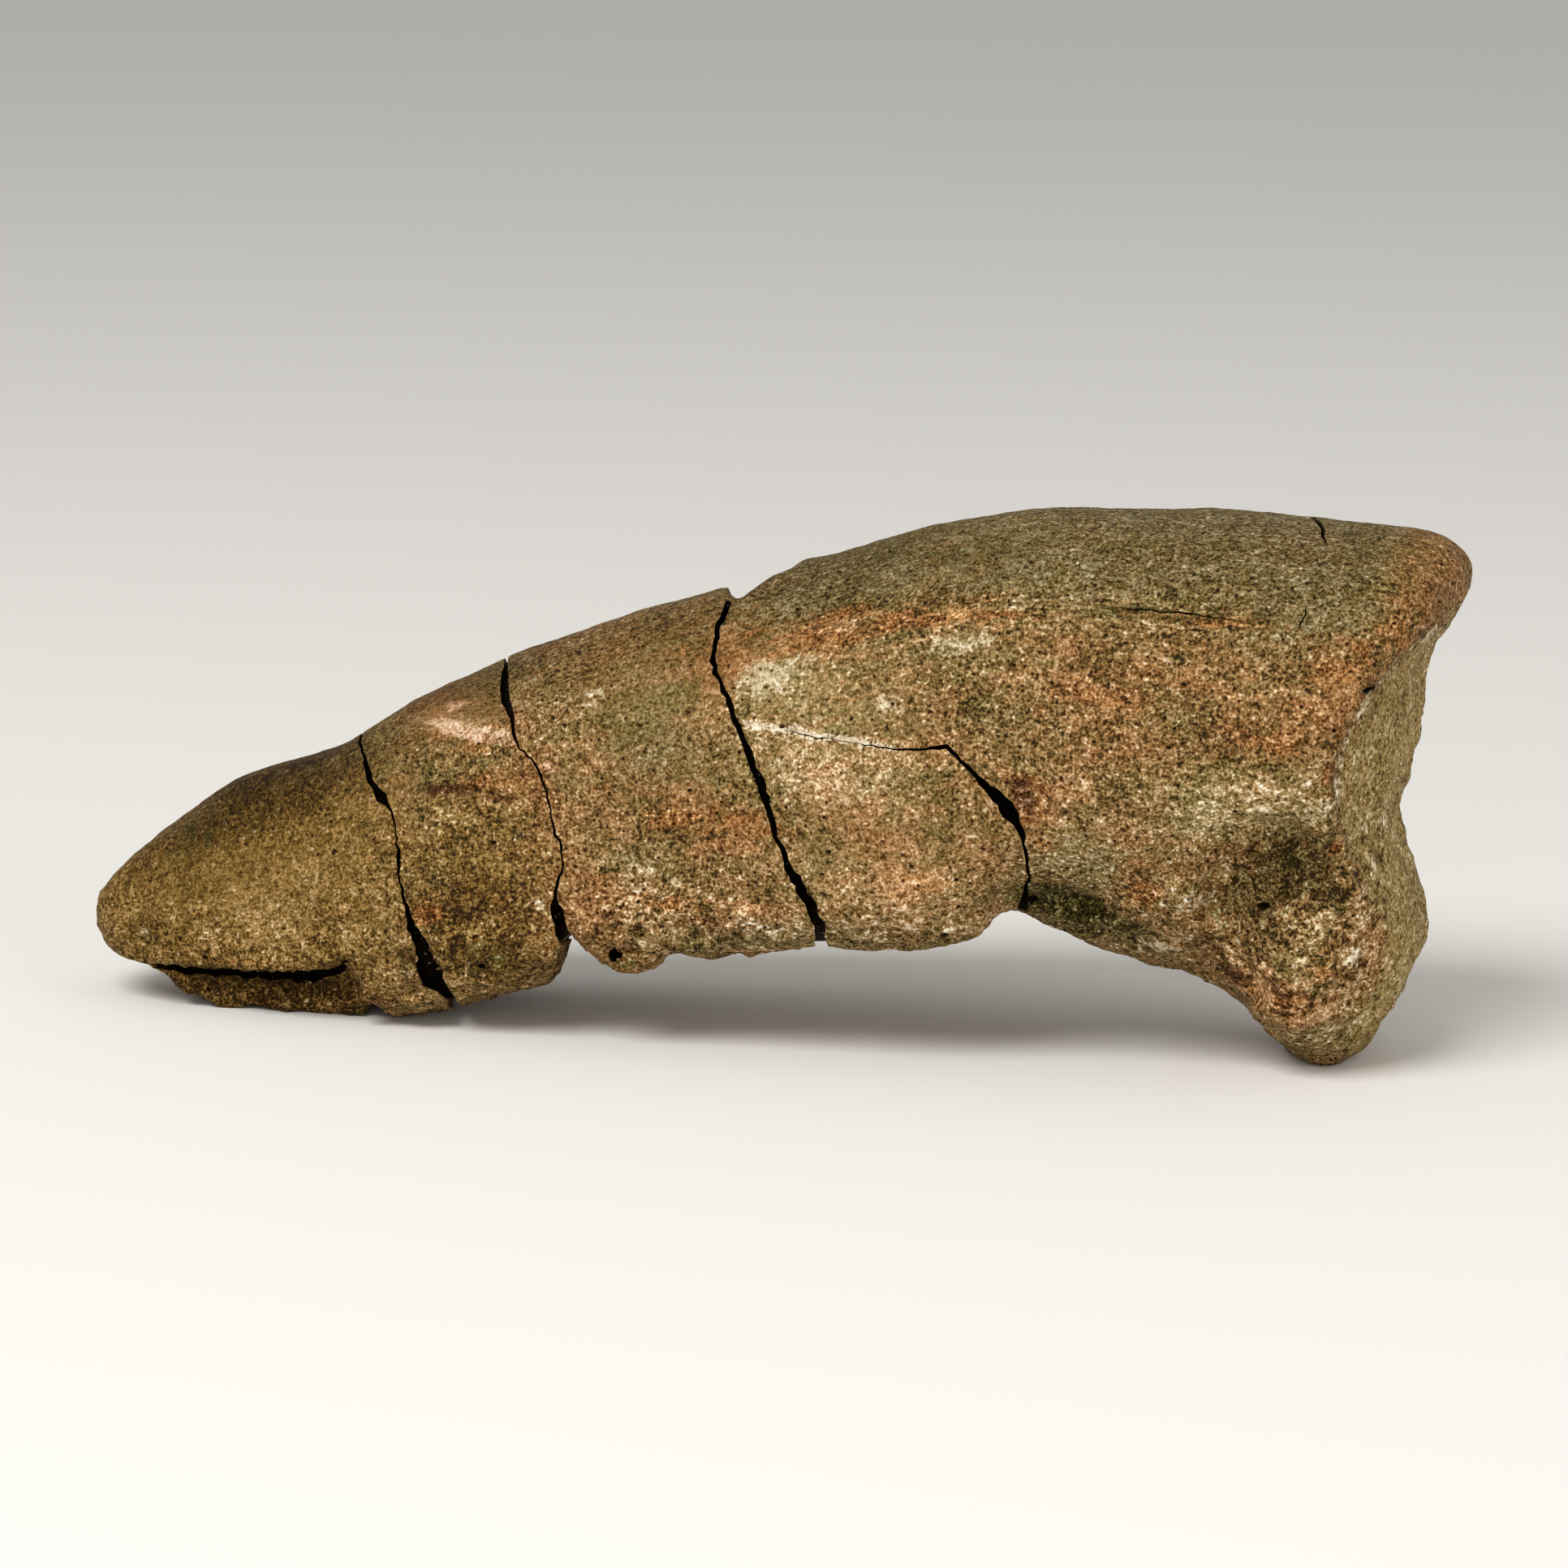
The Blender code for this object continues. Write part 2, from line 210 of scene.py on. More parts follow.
def prism(name, outline, faceY, start, depth):
    # a filled flat curve, laid on the plane y = faceY and pulled along the line of sight, from start mm
    # before that plane to depth mm behind it
    curve = bpy.data.curves.new(name, "CURVE")
    curve.dimensions, curve.fill_mode = "2D", "BOTH"
    spline = curve.splines.new("POLY")
    spline.points.add(len(outline) - 1)
    for point, (x, z) in zip(spline.points, outline):
        point.co = (x * mm, z * mm, 0, 1)
    spline.use_cyclic_u = True
    drawn = newObject(name, curve)
    selectOnly(drawn)
    bpy.ops.object.convert(target="MESH")
    cutter = bpy.context.object
    flat = readPoints(cutter)
    laid = np.column_stack((flat[:, 0], np.full(len(flat), faceY), flat[:, 1]))
    writePoints(cutter, laid - np.array(breakDirection) * start)
    bpy.ops.object.mode_set(mode="EDIT")
    bpy.ops.mesh.select_all(action="SELECT")
    bpy.ops.mesh.remove_doubles(threshold=0.001 * mm)
    pull = breakDirection * (start + depth) * mm
    bpy.ops.mesh.extrude_region_move(TRANSFORM_OT_translate={"value": pull})
    bpy.ops.mesh.select_all(action="SELECT")
    bpy.ops.mesh.normals_make_consistent(inside=False)
    bpy.ops.object.mode_set(mode="OBJECT")
    return cutter


def icoBall(fineness, radius):
    bpy.ops.object.select_all(action="DESELECT")
    bpy.ops.mesh.primitive_ico_sphere_add(subdivisions=fineness, radius=radius)
    return bpy.context.object


def lump(name, centre, size, crumple, dice, fineness=3):
    # a ball drawn out to size and crumpled a little
    ball = icoBall(fineness, 0.5)
    ball.name = name
    shape = readPoints(ball) * mm
    offset = Vector((dice.uniform(0, 50), dice.uniform(0, 50), dice.uniform(0, 50)))
    swell = np.array([1 + crumple * noise.noise(Vector(p) * crumpleFineness + offset) for p in shape])
    writePoints(ball, shape * swell[:, None] * np.array(size) + np.array(centre))
    return ball


def cut(thing, cutter, operation="DIFFERENCE"):
    applyModifier(thing, "BOOLEAN", object=cutter, operation=operation, solver="MANIFOLD")
    bpy.data.objects.remove(cutter)


# the bone: a copy of the solid, its straight breaks closed, to be broken again finely

boneShape = {
    "weld": 0.02,  # mm, as all lengths here
    "closingVoxel": 0.26,
    "closingReach": 0.33,  # half the widest break that closes
    "fineVoxel": 0.243,
    "coreVoxel": 0.5,
    "coreInset": 0.4,
    "coreWidth": 0.72,  # share of the bone's width
    "coreDip": 0.35,  # how much lower the core lies at the foot of the third break
    "coreDipPlace": (4.5, 5.0, 3.0, 2.0),  # x, z, reach along, reach across
    "chipStep": 0.45,  # length of one straight piece of a chipped edge
    "wedgeStep": 0.4,
    "breakStep": 0.28,
    "rimStep": 0.26,  # how far the joint face is sunk behind its rim
    "rimPlane": -8.6,  # y of the plane that rimLine is drawn on
    "boxMargin": 0.004,
}
softEdge = (0.35, 1.25)  # where a blob starts to fade and where it ends, as shares of its reach

bone = newObject("fossilClaw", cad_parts["claw"].data.copy())
bone.data.name = "fossilClaw"
selectOnly(bone)
bpy.ops.object.mode_set(mode="EDIT")
bpy.ops.mesh.select_all(action="SELECT")
bpy.ops.mesh.remove_doubles(threshold=boneShape["weld"] * mm)
bpy.ops.object.mode_set(mode="OBJECT")


def voxelRemesh(thing, size):
    applyModifier(thing, "REMESH", mode="VOXEL", voxel_size=size * mm)


def blob(flat, x, z, reachX, reachZ, turned=0.0):
    # 1 in the middle of a tilted ellipse, 0 a little outside its edge and beyond
    angle = math.radians(turned)
    dx, dz = flat[:, 0] - x, flat[:, 1] - z
    along = (dx * math.cos(angle) + dz * math.sin(angle)) / reachX
    across = (dz * math.cos(angle) - dx * math.sin(angle)) / reachZ
    return 1 - ramp(np.hypot(along, across), *softEdge)


voxelRemesh(bone, boneShape["closingVoxel"])
applyModifier(bone, "DISPLACE", strength=boneShape["closingReach"] * mm, mid_level=0)
voxelRemesh(bone, boneShape["closingVoxel"])
applyModifier(bone, "DISPLACE", strength=-boneShape["closingReach"] * mm, mid_level=0)
applyModifier(bone, "SMOOTH", factor=0.5, iterations=3)

core = newObject("joinedMiddle", bone.data.copy())  # the breaks stop here, where the fragments are glued
applyModifier(core, "DISPLACE", strength=-boneShape["coreInset"] * mm, mid_level=0)
voxelRemesh(core, boneShape["coreVoxel"])
applyModifier(core, "SMOOTH", factor=0.5, iterations=2)
corePoints = readPoints(core)
corePoints[:, 1] *= boneShape["coreWidth"]
corePoints[:, 2] -= boneShape["coreDip"] * blob(corePoints[:, [0, 2]], *boneShape["coreDipPlace"])
writePoints(core, corePoints)

# small pushes, seen from the flank: x, z, reach along, reach across, turned, push in x, y and z, and
# whether only the near side is pushed
pushes = (
    (-2.6, 19.6, 4.6, 3.0, 14, (0, 0, 0.3), False),
    (16.8, 4.9, 2.6, 1.2, -12, (0, 0, -0.3), False),
    (-27.4, 1.0, 2.4, 1.2, -30, (0.1, 0, 0.22), False),
    (28.6, 21.5, 1.6, 1.2, 0, (0.1, 0, 0.12), False),
    (24.2, 9.5, 3.0, 2.5, 10, (0, 0.55, 0), True),
    (21.3, 8.0, 2.0, 1.3, 20, (0, 0.45, 0), True),
    (19.0, 7.4, 1.3, 1.0, 20, (0, -0.35, 0), True),
    (22.5, 12.6, 3.2, 1.0, 4, (0, -0.2, 0), True),
    (-4.2, 4.4, 1.5, 0.9, 0, (0, -0.45, -0.5), False),
    (29.2, 13.4, 2.6, 2.0, 0, (0.28, 0, 0), False),
    (29.6, 17.6, 1.6, 1.4, 0, (-0.25, 0, 0), False),
    (-2.4, 6.4, 3.4, 0.8, -4, (0, -0.22, 0), True),
    (-2.2, 8.1, 3.6, 0.5, -4, (0, 0.14, 0), True),
    (13.6, 12.1, 0.9, 1.3, 25, (0, 0.35, 0), True),
    (0.6, 9.4, 2.2, 0.35, 0, (0, 0.1, 0), True),
    (8.9, 6.5, 4.0, 1.0, 0, (0, -0.12, 0), True),
)
points = readPoints(bone)
nearFade = (-0.5, -2.5)  # y in mm, where the near side starts and where it is full
nearSide = ramp(points[:, 1], *nearFade)
moved = points.copy()
for x, z, reachX, reachZ, turned, push, nearOnly in pushes:
    weight = blob(points[:, [0, 2]], x, z, reachX, reachZ, turned) * (nearSide if nearOnly else 1)
    moved += weight[:, None] * np.array(push)
writePoints(bone, moved)

# edges that have chipped and flaked away, as x, z on the plane y = faceY
dice = Random(11)
chips = {
    "spall": {"faceY": -4.5, "start": 8.0, "depth": 1.25, "wiggle": 0.1, "edge": (
        (-30.2, 2.7), (-28.3, 2.6), (-27.3, 2.2), (-25.9, 2.15), (-24.7, 2.05), (-23.4, 2.15),
        (-22.4, 2.0), (-21.1, 2.1), (-19.9, 2.15), (-18.9, 2.45), (-17.9, 2.6), (-17.4, 2.3),
        (-17.1, 1.6), (-16.9, 1.0),
    ), "closing": ((-16.9, -2.0), (-30.2, -2.0))},
    "slabStart": {"faceY": -4.5, "depth": 22.0, "edge": (
        (-29.8, 2.45), (-28.5, 2.3), (-27.3, 2.15), (-26.7, 1.8), (-25.9, 1.3), (-25.1, 0.8),
        (-24.2, 0.45), (-23.2, 0.15), (-22.6, -0.1),
    ), "closing": ((-22.6, -2.0), (-29.8, -2.0))},
    "layerNotch": {
        "faceY": -4.5, "depth": 6.0, "wiggle": 0.04,
        "edge": ((-16.95, 1.1), (-16.3, 0.95), (-16.0, 0.3), (-15.8, -0.4)),
        "closing": ((-15.8, -2.0), (-16.95, -2.0)),
    },
    "keelNotch": {"faceY": -6.8, "depth": 22.0, "wiggle": 0.08, "edge": (
        (-8.9, 1.9), (-8.1, 2.7), (-7.65, 3.4), (-7.6, 4.4), (-7.15, 5.25), (-6.5, 4.6), (-5.9, 4.1),
        (-5.0, 3.65), (-4.4, 3.2),
    ), "closing": ((-3.8, -3.0), (-9.6, -3.0))},
    "keelBites": {"faceY": -6.8, "depth": 22.0, "edge": (
        (-3.0, 3.6), (-2.9, 4.15), (-2.6, 4.4), (-2.1, 4.4), (-1.6, 4.2), (-1.0, 4.1), (-0.5, 4.2),
        (-0.1, 4.45), (0.4, 4.6), (1.0, 4.6), (1.5, 4.75), (2.4, 4.8), (3.2, 4.9), (3.8, 5.05),
        (4.5, 5.0), (5.2, 4.95), (7.4, 5.1), (9.5, 5.5), (10.9, 5.9), (11.3, 6.2), (11.7, 6.75),
        (12.1, 7.1), (12.7, 7.2), (13.2, 7.1), (13.8, 6.7), (14.4, 6.4),
    ), "closing": ((14.5, -3.0), (-3.0, -3.0))},
    "crestChip": {"faceY": -8.0, "edge": (
        (-0.3, 19.5), (0.0, 19.95), (0.3, 20.45), (0.1, 20.75), (0.1, 24.5), (3.6, 24.5), (3.3, 22.6),
        (2.4, 22.0), (1.47, 21.35), (0.75, 20.6), (0.35, 20.0), (-0.15, 19.3),
    ), "closing": ()},
}


def chipCutter(name, chip, step):
    # a prism with a jagged edge, closed by plain points
    chip = cutHabits | chip
    jagged = finePath([(x, z, 0.0) for x, z in chip["edge"]], step, chip["wiggle"], dice)
    outline = [row[:2] for row in jagged] + list(chip["closing"])
    return prism(name, outline, chip["faceY"], chip["start"], chip["depth"])


for name, chip in chips.items():
    cut(bone, chipCutter(name, chip, boneShape["chipStep"]))

# the hollow under the base stops at the broken edge of the wedge
hollow = {
    "centre": (14.5, -8.5, 5.6),
    "size": (8.6, 8.4, 6.2),
    "crumple": 0.1,
    "faceY": -8.0, "start": 8.0, "depth": 10.0,
    "edge": (
        (13.6, 12.0), (13.45, 9.0), (13.25, 8.6), (13.0, 8.0), (12.9, 7.6), (12.5, 7.0), (12.15, 6.7),
        (11.6, 6.2), (11.0, 5.75), (10.2, 5.45), (9.4, 5.0),
    ),
    "closing": ((9.0, 0.0), (24.0, 0.0), (24.0, 13.0)),
}
hollowShape = lump("hollow", hollow["centre"], hollow["size"], hollow["crumple"], dice, 5)
cut(hollowShape, chipCutter("hollowLimit", hollow, boneShape["wedgeStep"]), "INTERSECT")
cut(bone, hollowShape)

voxelRemesh(bone, boneShape["fineVoxel"])
applyModifier(bone, "SMOOTH", factor=0.5, iterations=1)
print("bone copied, closed and chipped:", len(bone.data.vertices), "points")


# height of the bone's outline along its length, for everything that follows the arch

stations = np.arange(-30.5, 30.6, 1.0)
slabReach = 0.8  # mm to both sides of a station
points = readPoints(bone)
slabs = [points[abs(points[:, 0] - station) < slabReach, 2] for station in stations]
crestLine, keelLine = np.array([(slab.max(), slab.min()) for slab in slabs]).T


def heightShare(points):
    # 0 at the keel, 1 at the crest
    crest = np.interp(points[:, 0], stations, crestLine)
    keel = np.interp(points[:, 0], stations, keelLine)
    return np.clip((points[:, 2] - keel) / np.maximum(crest - keel, 0.5), 0, 1)


# relief: swells, lumps, grains and crumbs

relief = (
    # texture, size in mm, height in mm, where, stretch along the bone
    ("swells", 3.5, 0.32, "", 1.6),
    ("lumps", 1.3, 0.30, "flanks", 1.3),
    ("grains", 0.55, 0.24, "flanks", 1.2),
    ("erosion", 1.6, 1.9, "eroded", 1.2),
    ("crumbs", 0.7, 1.15, "eroded", 1.0),
)

# where the surface is eroded: x, z, reach along, reach across, turned, strength
erodedPlaces = (
    (-1.5, 5.8, 6.5, 2.4, 0, 0.6), (-4.3, 4.4, 1.8, 1.2, 0, 0.8), (-10.8, 4.6, 3.6, 3.2, 0, 0.6),
    (-15.0, 2.6, 3.4, 2.4, 0, 0.6), (-22.0, 0.6, 7.0, 1.4, 0, 0.6), (24.0, 9.2, 3.8, 2.8, 20, 0.85),
    (21.3, 7.4, 3.2, 2.4, 0, 0.75), (25.5, 3.6, 3.8, 3.0, 0, 0.55), (16.0, 6.6, 3.5, 1.8, -10, 0.7),
    (21.5, 4.6, 2.5, 1.2, -20, 0.8), (8.5, 5.8, 5.0, 1.4, 0, 0.45), (-21.0, 4.2, 7.5, 3.0, 14, 0.42),
    (-2.0, 9.4, 5.0, 1.6, 0, 0.35), (-11.6, 10.4, 3.4, 2.6, 0, 0.3), (-26.6, 3.4, 2.6, 1.6, 0, 0.6),
)
wear = {
    "keel": 0.22,  # erosion all along the keel
    "keelSpared": 0.55,  # share by which eroded places are weaker at the keel
    "crestCalm": 0.7,  # share by which grains are lower on the crest
}
points = readPoints(bone)
flat = points[:, [0, 2]]
share = heightShare(points)
eroded = wear["keel"] * ramp(share, 0.14, 0.02)
for place in erodedPlaces:
    eroded = np.maximum(eroded, blob(flat, *place[:5]) * place[5])
eroded *= 1 - wear["keelSpared"] * ramp(share, 0.12, 0.03)
flanks = 1 - wear["crestCalm"] * ramp(share, 0.7, 0.95)
for name, weights in {"eroded": eroded, "flanks": flanks}.items():
    group = bone.vertex_groups.new(name=name)
    for i in np.nonzero(weights > 0.01)[0]:
        group.add([int(i)], float(weights[i]), "REPLACE")
for name, size, height, where, stretch in relief:
    pattern = bpy.data.textures.new(name, "CLOUDS")
    pattern.noise_scale, pattern.noise_depth = size * mm, 2
    guide = newObject(name + "Guide", None)  # its scale draws the pattern out along the bone
    guide.scale = (stretch, 1, 1)
    applyModifier(
        bone, "DISPLACE", texture=pattern, texture_coords="OBJECT", texture_coords_object=guide,
        strength=height * mm, mid_level=0.5, vertex_group=where,
    )
    bpy.data.objects.remove(guide)

# the joint face starts at a crisp rim, given as x, z
rimLine = np.array((
    (27.8, -1.0), (27.8, 3.3), (28.5, 4.6), (28.9, 6.0), (28.9, 7.4), (28.0, 9.1), (27.3, 10.4),
    (26.7, 11.8), (26.3, 13.5), (26.5, 15.0), (26.9, 16.1), (27.6, 17.5), (28.5, 18.3), (29.5, 19.5),
    (30.3, 20.1), (31.5, 20.6),
))


def behindRim(points):
    # how far, in mm, a point lies on the joint's side of the rim
    mirrored = np.column_stack((points[:, 0], -abs(points[:, 1]), points[:, 2]))
    seen = slidTo(mirrored, boneShape["rimPlane"])
    return seen[:, 0] - np.interp(seen[:, 1], rimLine[:, 1], rimLine[:, 0])


points = readPoints(bone)
rimStep = ramp(behindRim(points), -0.05, 0.25) * ramp(abs(points[:, 1]), 3.5, 6.0)
rimStep *= ramp(points[:, 2], 8.0, 12.0)
rimStep *= ramp(points[:, 2], 20.5, 19.0)
points -= readNormals(bone) * (rimStep * boneShape["rimStep"])[:, None]
writePoints(bone, points)
print("relief added")


# breaks: jagged slits cut along the line of sight; one without a depth stops at the joined middle

# each row: x, z, width in mm, on the plane y = faceY
breakPaths = {
    "thirdBreak": {"faceY": -8.0, "wiggle": 0.07, "path": (
        (0.1, 20.3, 0.3), (-0.3, 19.2, 0.25), (-0.5, 18.4, 0.25), (-0.5, 17.3, 0.25), (-0.2, 16.6, 0.21),
        (0.1, 16.0, 0.25), (0.5, 15.0, 0.28), (0.8, 14.2, 0.25), (1.2, 13.2, 0.32), (1.6, 12.4, 0.43),
        (2.0, 11.2, 0.28), (2.3, 10.0, 0.21), (2.7, 9.3, 0.25), (3.0, 8.4, 0.43), (3.5, 7.8, 0.43),
        (3.9, 7.0, 0.43), (4.3, 6.3, 0.43), (4.4, 5.5, 0.5), (4.6, 2.0, 0.5),
    )},
    "secondBreak": {"faceY": -6.8, "wiggle": 0.06, "path": (
        (-10.5, 19.5, 0.1), (-10.3, 17.0, 0.2), (-10.2, 16.3, 0.4), (-10.1, 15.2, 0.36),
        (-9.8, 14.4, 0.22), (-9.6, 13.5, 0.18), (-9.4, 13.1, 0.09), (-8.8, 12.7, 0.09),
        (-8.4, 12.0, 0.12), (-8.1, 11.0, 0.09), (-7.9, 10.2, 0.1), (-7.7, 9.4, 0.15), (-7.4, 8.9, 0.12),
        (-7.4, 8.3, 0.1), (-7.4, 7.8, 0.1), (-7.6, 7.2, 0.12), (-7.7, 6.6, 0.2), (-7.65, 6.0, 0.5),
        (-7.4, 5.2, 0.55), (-7.2, 4.6, 0.6),
    )},
    "tipBreak": {"faceY": -5.5, "wiggle": 0.06, "path": (
        (-17.6, 16.5, 0.12), (-17.1, 12.8, 0.15), (-16.9, 12.4, 0.15), (-16.7, 11.7, 0.22),
        (-16.5, 11.1, 0.3), (-15.95, 10.4, 0.52), (-15.75, 10.1, 0.22), (-15.5, 9.8, 0.12),
        (-15.3, 9.1, 0.09), (-15.2, 8.4, 0.09), (-15.1, 7.8, 0.18), (-15.1, 7.0, 0.12),
        (-14.9, 6.1, 0.12), (-14.7, 5.3, 0.22), (-14.5, 4.7, 0.41), (-14.1, 4.1, 0.5), (-13.9, 3.4, 0.82),
        (-13.75, 2.7, 1.1), (-13.4, 2.2, 0.95), (-12.95, 1.8, 0.55), (-12.6, 1.0, 0.45),
        (-12.5, -3.0, 0.45),
    )},
    "wedgeBreak": {"faceY": -8.2, "depth": 3.2, "path": (
        (2.7, 14.7, 0.02), (3.4, 14.6, 0.06), (4.1, 14.45, 0.05), (5.0, 14.4, 0.03), (5.9, 14.3, 0.04),
        (6.8, 14.2, 0.07), (7.7, 14.1, 0.09), (8.8, 14.2, 0.1), (9.7, 14.3, 0.2), (10.0, 14.1, 0.22),
        (10.7, 13.4, 0.18), (11.3, 12.9, 0.3), (11.75, 12.4, 0.55), (12.3, 11.9, 0.66), (12.7, 11.4, 0.5),
        (13.0, 10.9, 0.28), (13.1, 10.3, 0.15), (13.3, 9.6, 0.17), (13.4, 9.1, 0.15), (13.45, 8.6, 0.1),
    )},
    "ledgeGap": {"faceY": -5.0, "wiggle": 0.11, "depth": 2.9, "path": (
        (-27.3, 2.25, 0.1), (-26.4, 2.1, 0.28), (-24.8, 2.0, 0.36), (-23.4, 1.98, 0.36),
        (-22.2, 1.95, 0.45), (-21.2, 2.0, 0.42), (-20.6, 2.1, 0.5), (-19.9, 2.0, 0.56),
        (-19.2, 2.1, 0.56), (-18.6, 2.3, 0.4), (-18.0, 2.6, 0.3), (-17.6, 2.9, 0.12),
    )},
    "wedgeFoot": {"faceY": -7.0, "start": 5.0, "depth": 3.4, "path": (
        (13.2, 8.7, 0.08), (13.12, 8.3, 0.16), (13.1, 7.9, 0.32), (13.1, 7.3, 0.5), (12.95, 6.9, 0.5),
        (12.6, 6.3, 0.5), (12.2, 5.7, 0.5), (12.0, 5.0, 0.4),
    )},
    "lipNick": {"faceY": -1.0, "wiggle": 0.03, "start": 4.0, "depth": 3.0, "path": (
        (24.4, 25.0, 0.26), (24.45, 23.9, 0.24), (24.55, 23.3, 0.22), (24.5, 22.9, 0.16),
        (24.6, 22.5, 0.05),
    )},
    "crestCrack": {"faceY": -7.0, "start": 5.0, "depth": 0.5, "path": (
        (16.9, 20.35, 0.03), (17.8, 20.4, 0.07), (18.6, 20.3, 0.05), (19.6, 20.3, 0.08),
        (20.6, 20.2, 0.06), (21.6, 20.05, 0.04), (22.1, 20.0, 0.02),
    )},
    "lipCrack": {
        "faceY": -7.6, "wiggle": 0.03, "start": 5.0, "depth": 0.6,
        "path": ((24.9, 21.1, 0.03), (24.8, 20.6, 0.07), (24.6, 20.2, 0.07), (24.5, 19.9, 0.02)),
    },
}

# small pits, by centre and size, and pores strewn over the flanks
pits = (
    ((27.6, -7.9, 17.45), (0.6, 1.8, 0.45)), ((-4.9, -7.0, 4.3), (0.7, 1.2, 0.7)),
    ((-3.7, -6.4, 3.9), (0.8, 1.2, 0.4)), ((-9.5, -6.8, 3.3), (0.7, 1.0, 0.4)),
    ((-11.0, -7.0, 3.4), (0.35, 0.7, 0.3)), ((-11.3, -7.2, 4.7), (0.35, 0.7, 0.3)),
    ((-18.1, -5.6, 7.9), (0.25, 0.5, 0.2)), ((25.0, -8.3, 10.8), (1.1, 1.3, 0.6)),
    ((26.1, -8.3, 10.7), (0.6, 1.0, 0.4)), ((23.4, -7.6, 8.0), (0.8, 1.0, 0.5)),
    ((24.5, -7.8, 9.1), (0.6, 0.9, 0.4)), ((22.0, -7.2, 8.4), (0.6, 0.9, 0.4)),
    ((13.1, -5.9, 7.3), (0.9, 1.6, 0.7)), ((0.9, -8.6, 11.8), (0.35, 0.8, 0.3)),
    ((15.8, -6.6, 6.9), (0.6, 1.0, 0.35)), ((-15.2, -5.6, 3.0), (0.5, 0.9, 0.4)),
    ((9.6, -7.2, 6.0), (0.4, 0.8, 0.3)), ((26.6, -6.4, 4.4), (0.5, 0.8, 0.4)),
    ((-6.0, 6.6, 6.0), (0.7, 1.2, 0.5)), ((22.8, 7.6, 9.4), (1.0, 1.4, 0.7)),
    ((17.6, 8.6, 14.4), (0.5, 0.9, 0.4)),
)
pores = {
    "count": 440,
    "spacing": 0.75,  # mm
    "smallest": 0.055,
    "largest": 0.12,
    "smallPull": 1.6,  # above 1, most pores are nearer the smallest size
    "least": 0.1,  # share kept where they are rarest, near the tip and the midline
    "beforeRim": 0.4,
    "flankward": 0.3,  # least share of y in the surface's direction
    "depth": 1.5,  # times the radius
    "length": (0.9, 1.6),
}
pitCrumple = 0.5


def tooClose(here, other):
    # whether two pores lie on one flank, nearer to each other than the spacing
    return here[1] * other[1] >= 0 and np.hypot(*(here - other)[[0, 2]]) <= pores["spacing"]


unbroken = BVHTree.FromPolygons(
    [vertex.co.copy() for vertex in bone.data.vertices],
    [face.vertices[:] for face in bone.data.polygons],
)
for centre, size in pits:
    cut(bone, lump("pit", centre, size, pitCrumple, dice))
strewn = []
points, normals = readPoints(bone), readNormals(bone)
while len(strewn) < pores["count"]:
    i = dice.randrange(len(points))
    here = points[i]
    wanted = ramp(here[0], -16, 0) * ramp(abs(here[1]), 2.5, 5.5) * (1 - pores["least"]) + pores["least"]
    if behindRim(here[None])[0] >= -pores["beforeRim"] or dice.random() >= wanted:
        continue
    if abs(normals[i, 1]) > pores["flankward"] and not any(tooClose(here, other) for other in strewn):
        strewn.append(here)
seed = icoBall(1, 1.0)
ball, faces = readPoints(seed) * mm, [tuple(face.vertices) for face in seed.data.polygons]
corners, sides = [], []
for i, here in enumerate(strewn):
    largeness = dice.random() ** pores["smallPull"]
    radius = pores["smallest"] + (pores["largest"] - pores["smallest"]) * largeness
    spin = np.array(Matrix.Rotation(dice.uniform(0, 6), 3, (0.3, 0.5, 0.8)))
    drawnOut = (dice.uniform(*pores["length"]), pores["depth"], 1.0)
    corners.append((ball @ spin * drawnOut * radius + here) * mm)
    sides += [tuple(corner + i * len(ball) for corner in face) for face in faces]
poreMesh = bpy.data.meshes.new("pores")
poreMesh.from_pydata(np.concatenate(corners).tolist(), [], sides)
bpy.data.objects.remove(seed)
poreBalls = newObject("pores", poreMesh)
cut(bone, poreBalls)
print("pits and pores cut:", len(bone.data.polygons), "faces")
for name, slit in breakPaths.items():
    full = cutHabits | slit
    outline = slitOutline(finePath(slit["path"], boneShape["breakStep"], full["wiggle"], dice))
    cutter = prism(name, outline, slit["faceY"], full["start"], full["depth"])
    if "depth" not in slit:
        applyModifier(cutter, "BOOLEAN", object=core, operation="DIFFERENCE", solver="MANIFOLD")
    cut(bone, cutter)
    print(name, "cut:", len(bone.data.polygons), "faces")
bpy.data.objects.remove(core)

# nothing stands outside the solid's box
low, high = (np.array(corner) / mm for corner in cadBox)
margin = boneShape["boxMargin"]
writePoints(bone, np.clip(readPoints(bone), low + margin, high - margin))


# attributes that the finish reads


def pathNearness(flat, rows, inner, outer):
    # 1 within inner mm of a path of x, z; 0 beyond outer mm
    nearest = np.full(len(flat), 99.0)
    for start, end in zip(np.array(rows)[:-1], np.array(rows)[1:]):
        along = end - start
        t = np.clip(((flat - start) @ along) / (along @ along), 0, 1)
        nearest = np.minimum(nearest, np.hypot(*(flat - start - t[:, None] * along).T))
    return ramp(nearest, outer, inner)


points = readPoints(bone)
flat = points[:, [0, 2]]
along, across, up = points.T
share = heightShare(points)
nearSide = ramp(across, *nearFade)
farSide = ramp(-across, *nearFade)
usualHeight = 16  # mm
# along, across, and up as a share of the bone's height, so that fibres follow the arch
grainWay = np.column_stack((along, across, share * usualHeight))
way = bone.data.attributes.new("grainWay", "FLOAT_VECTOR", "POINT")
way.data.foreach_set("vector", grainWay.astype(np.float32).ravel())

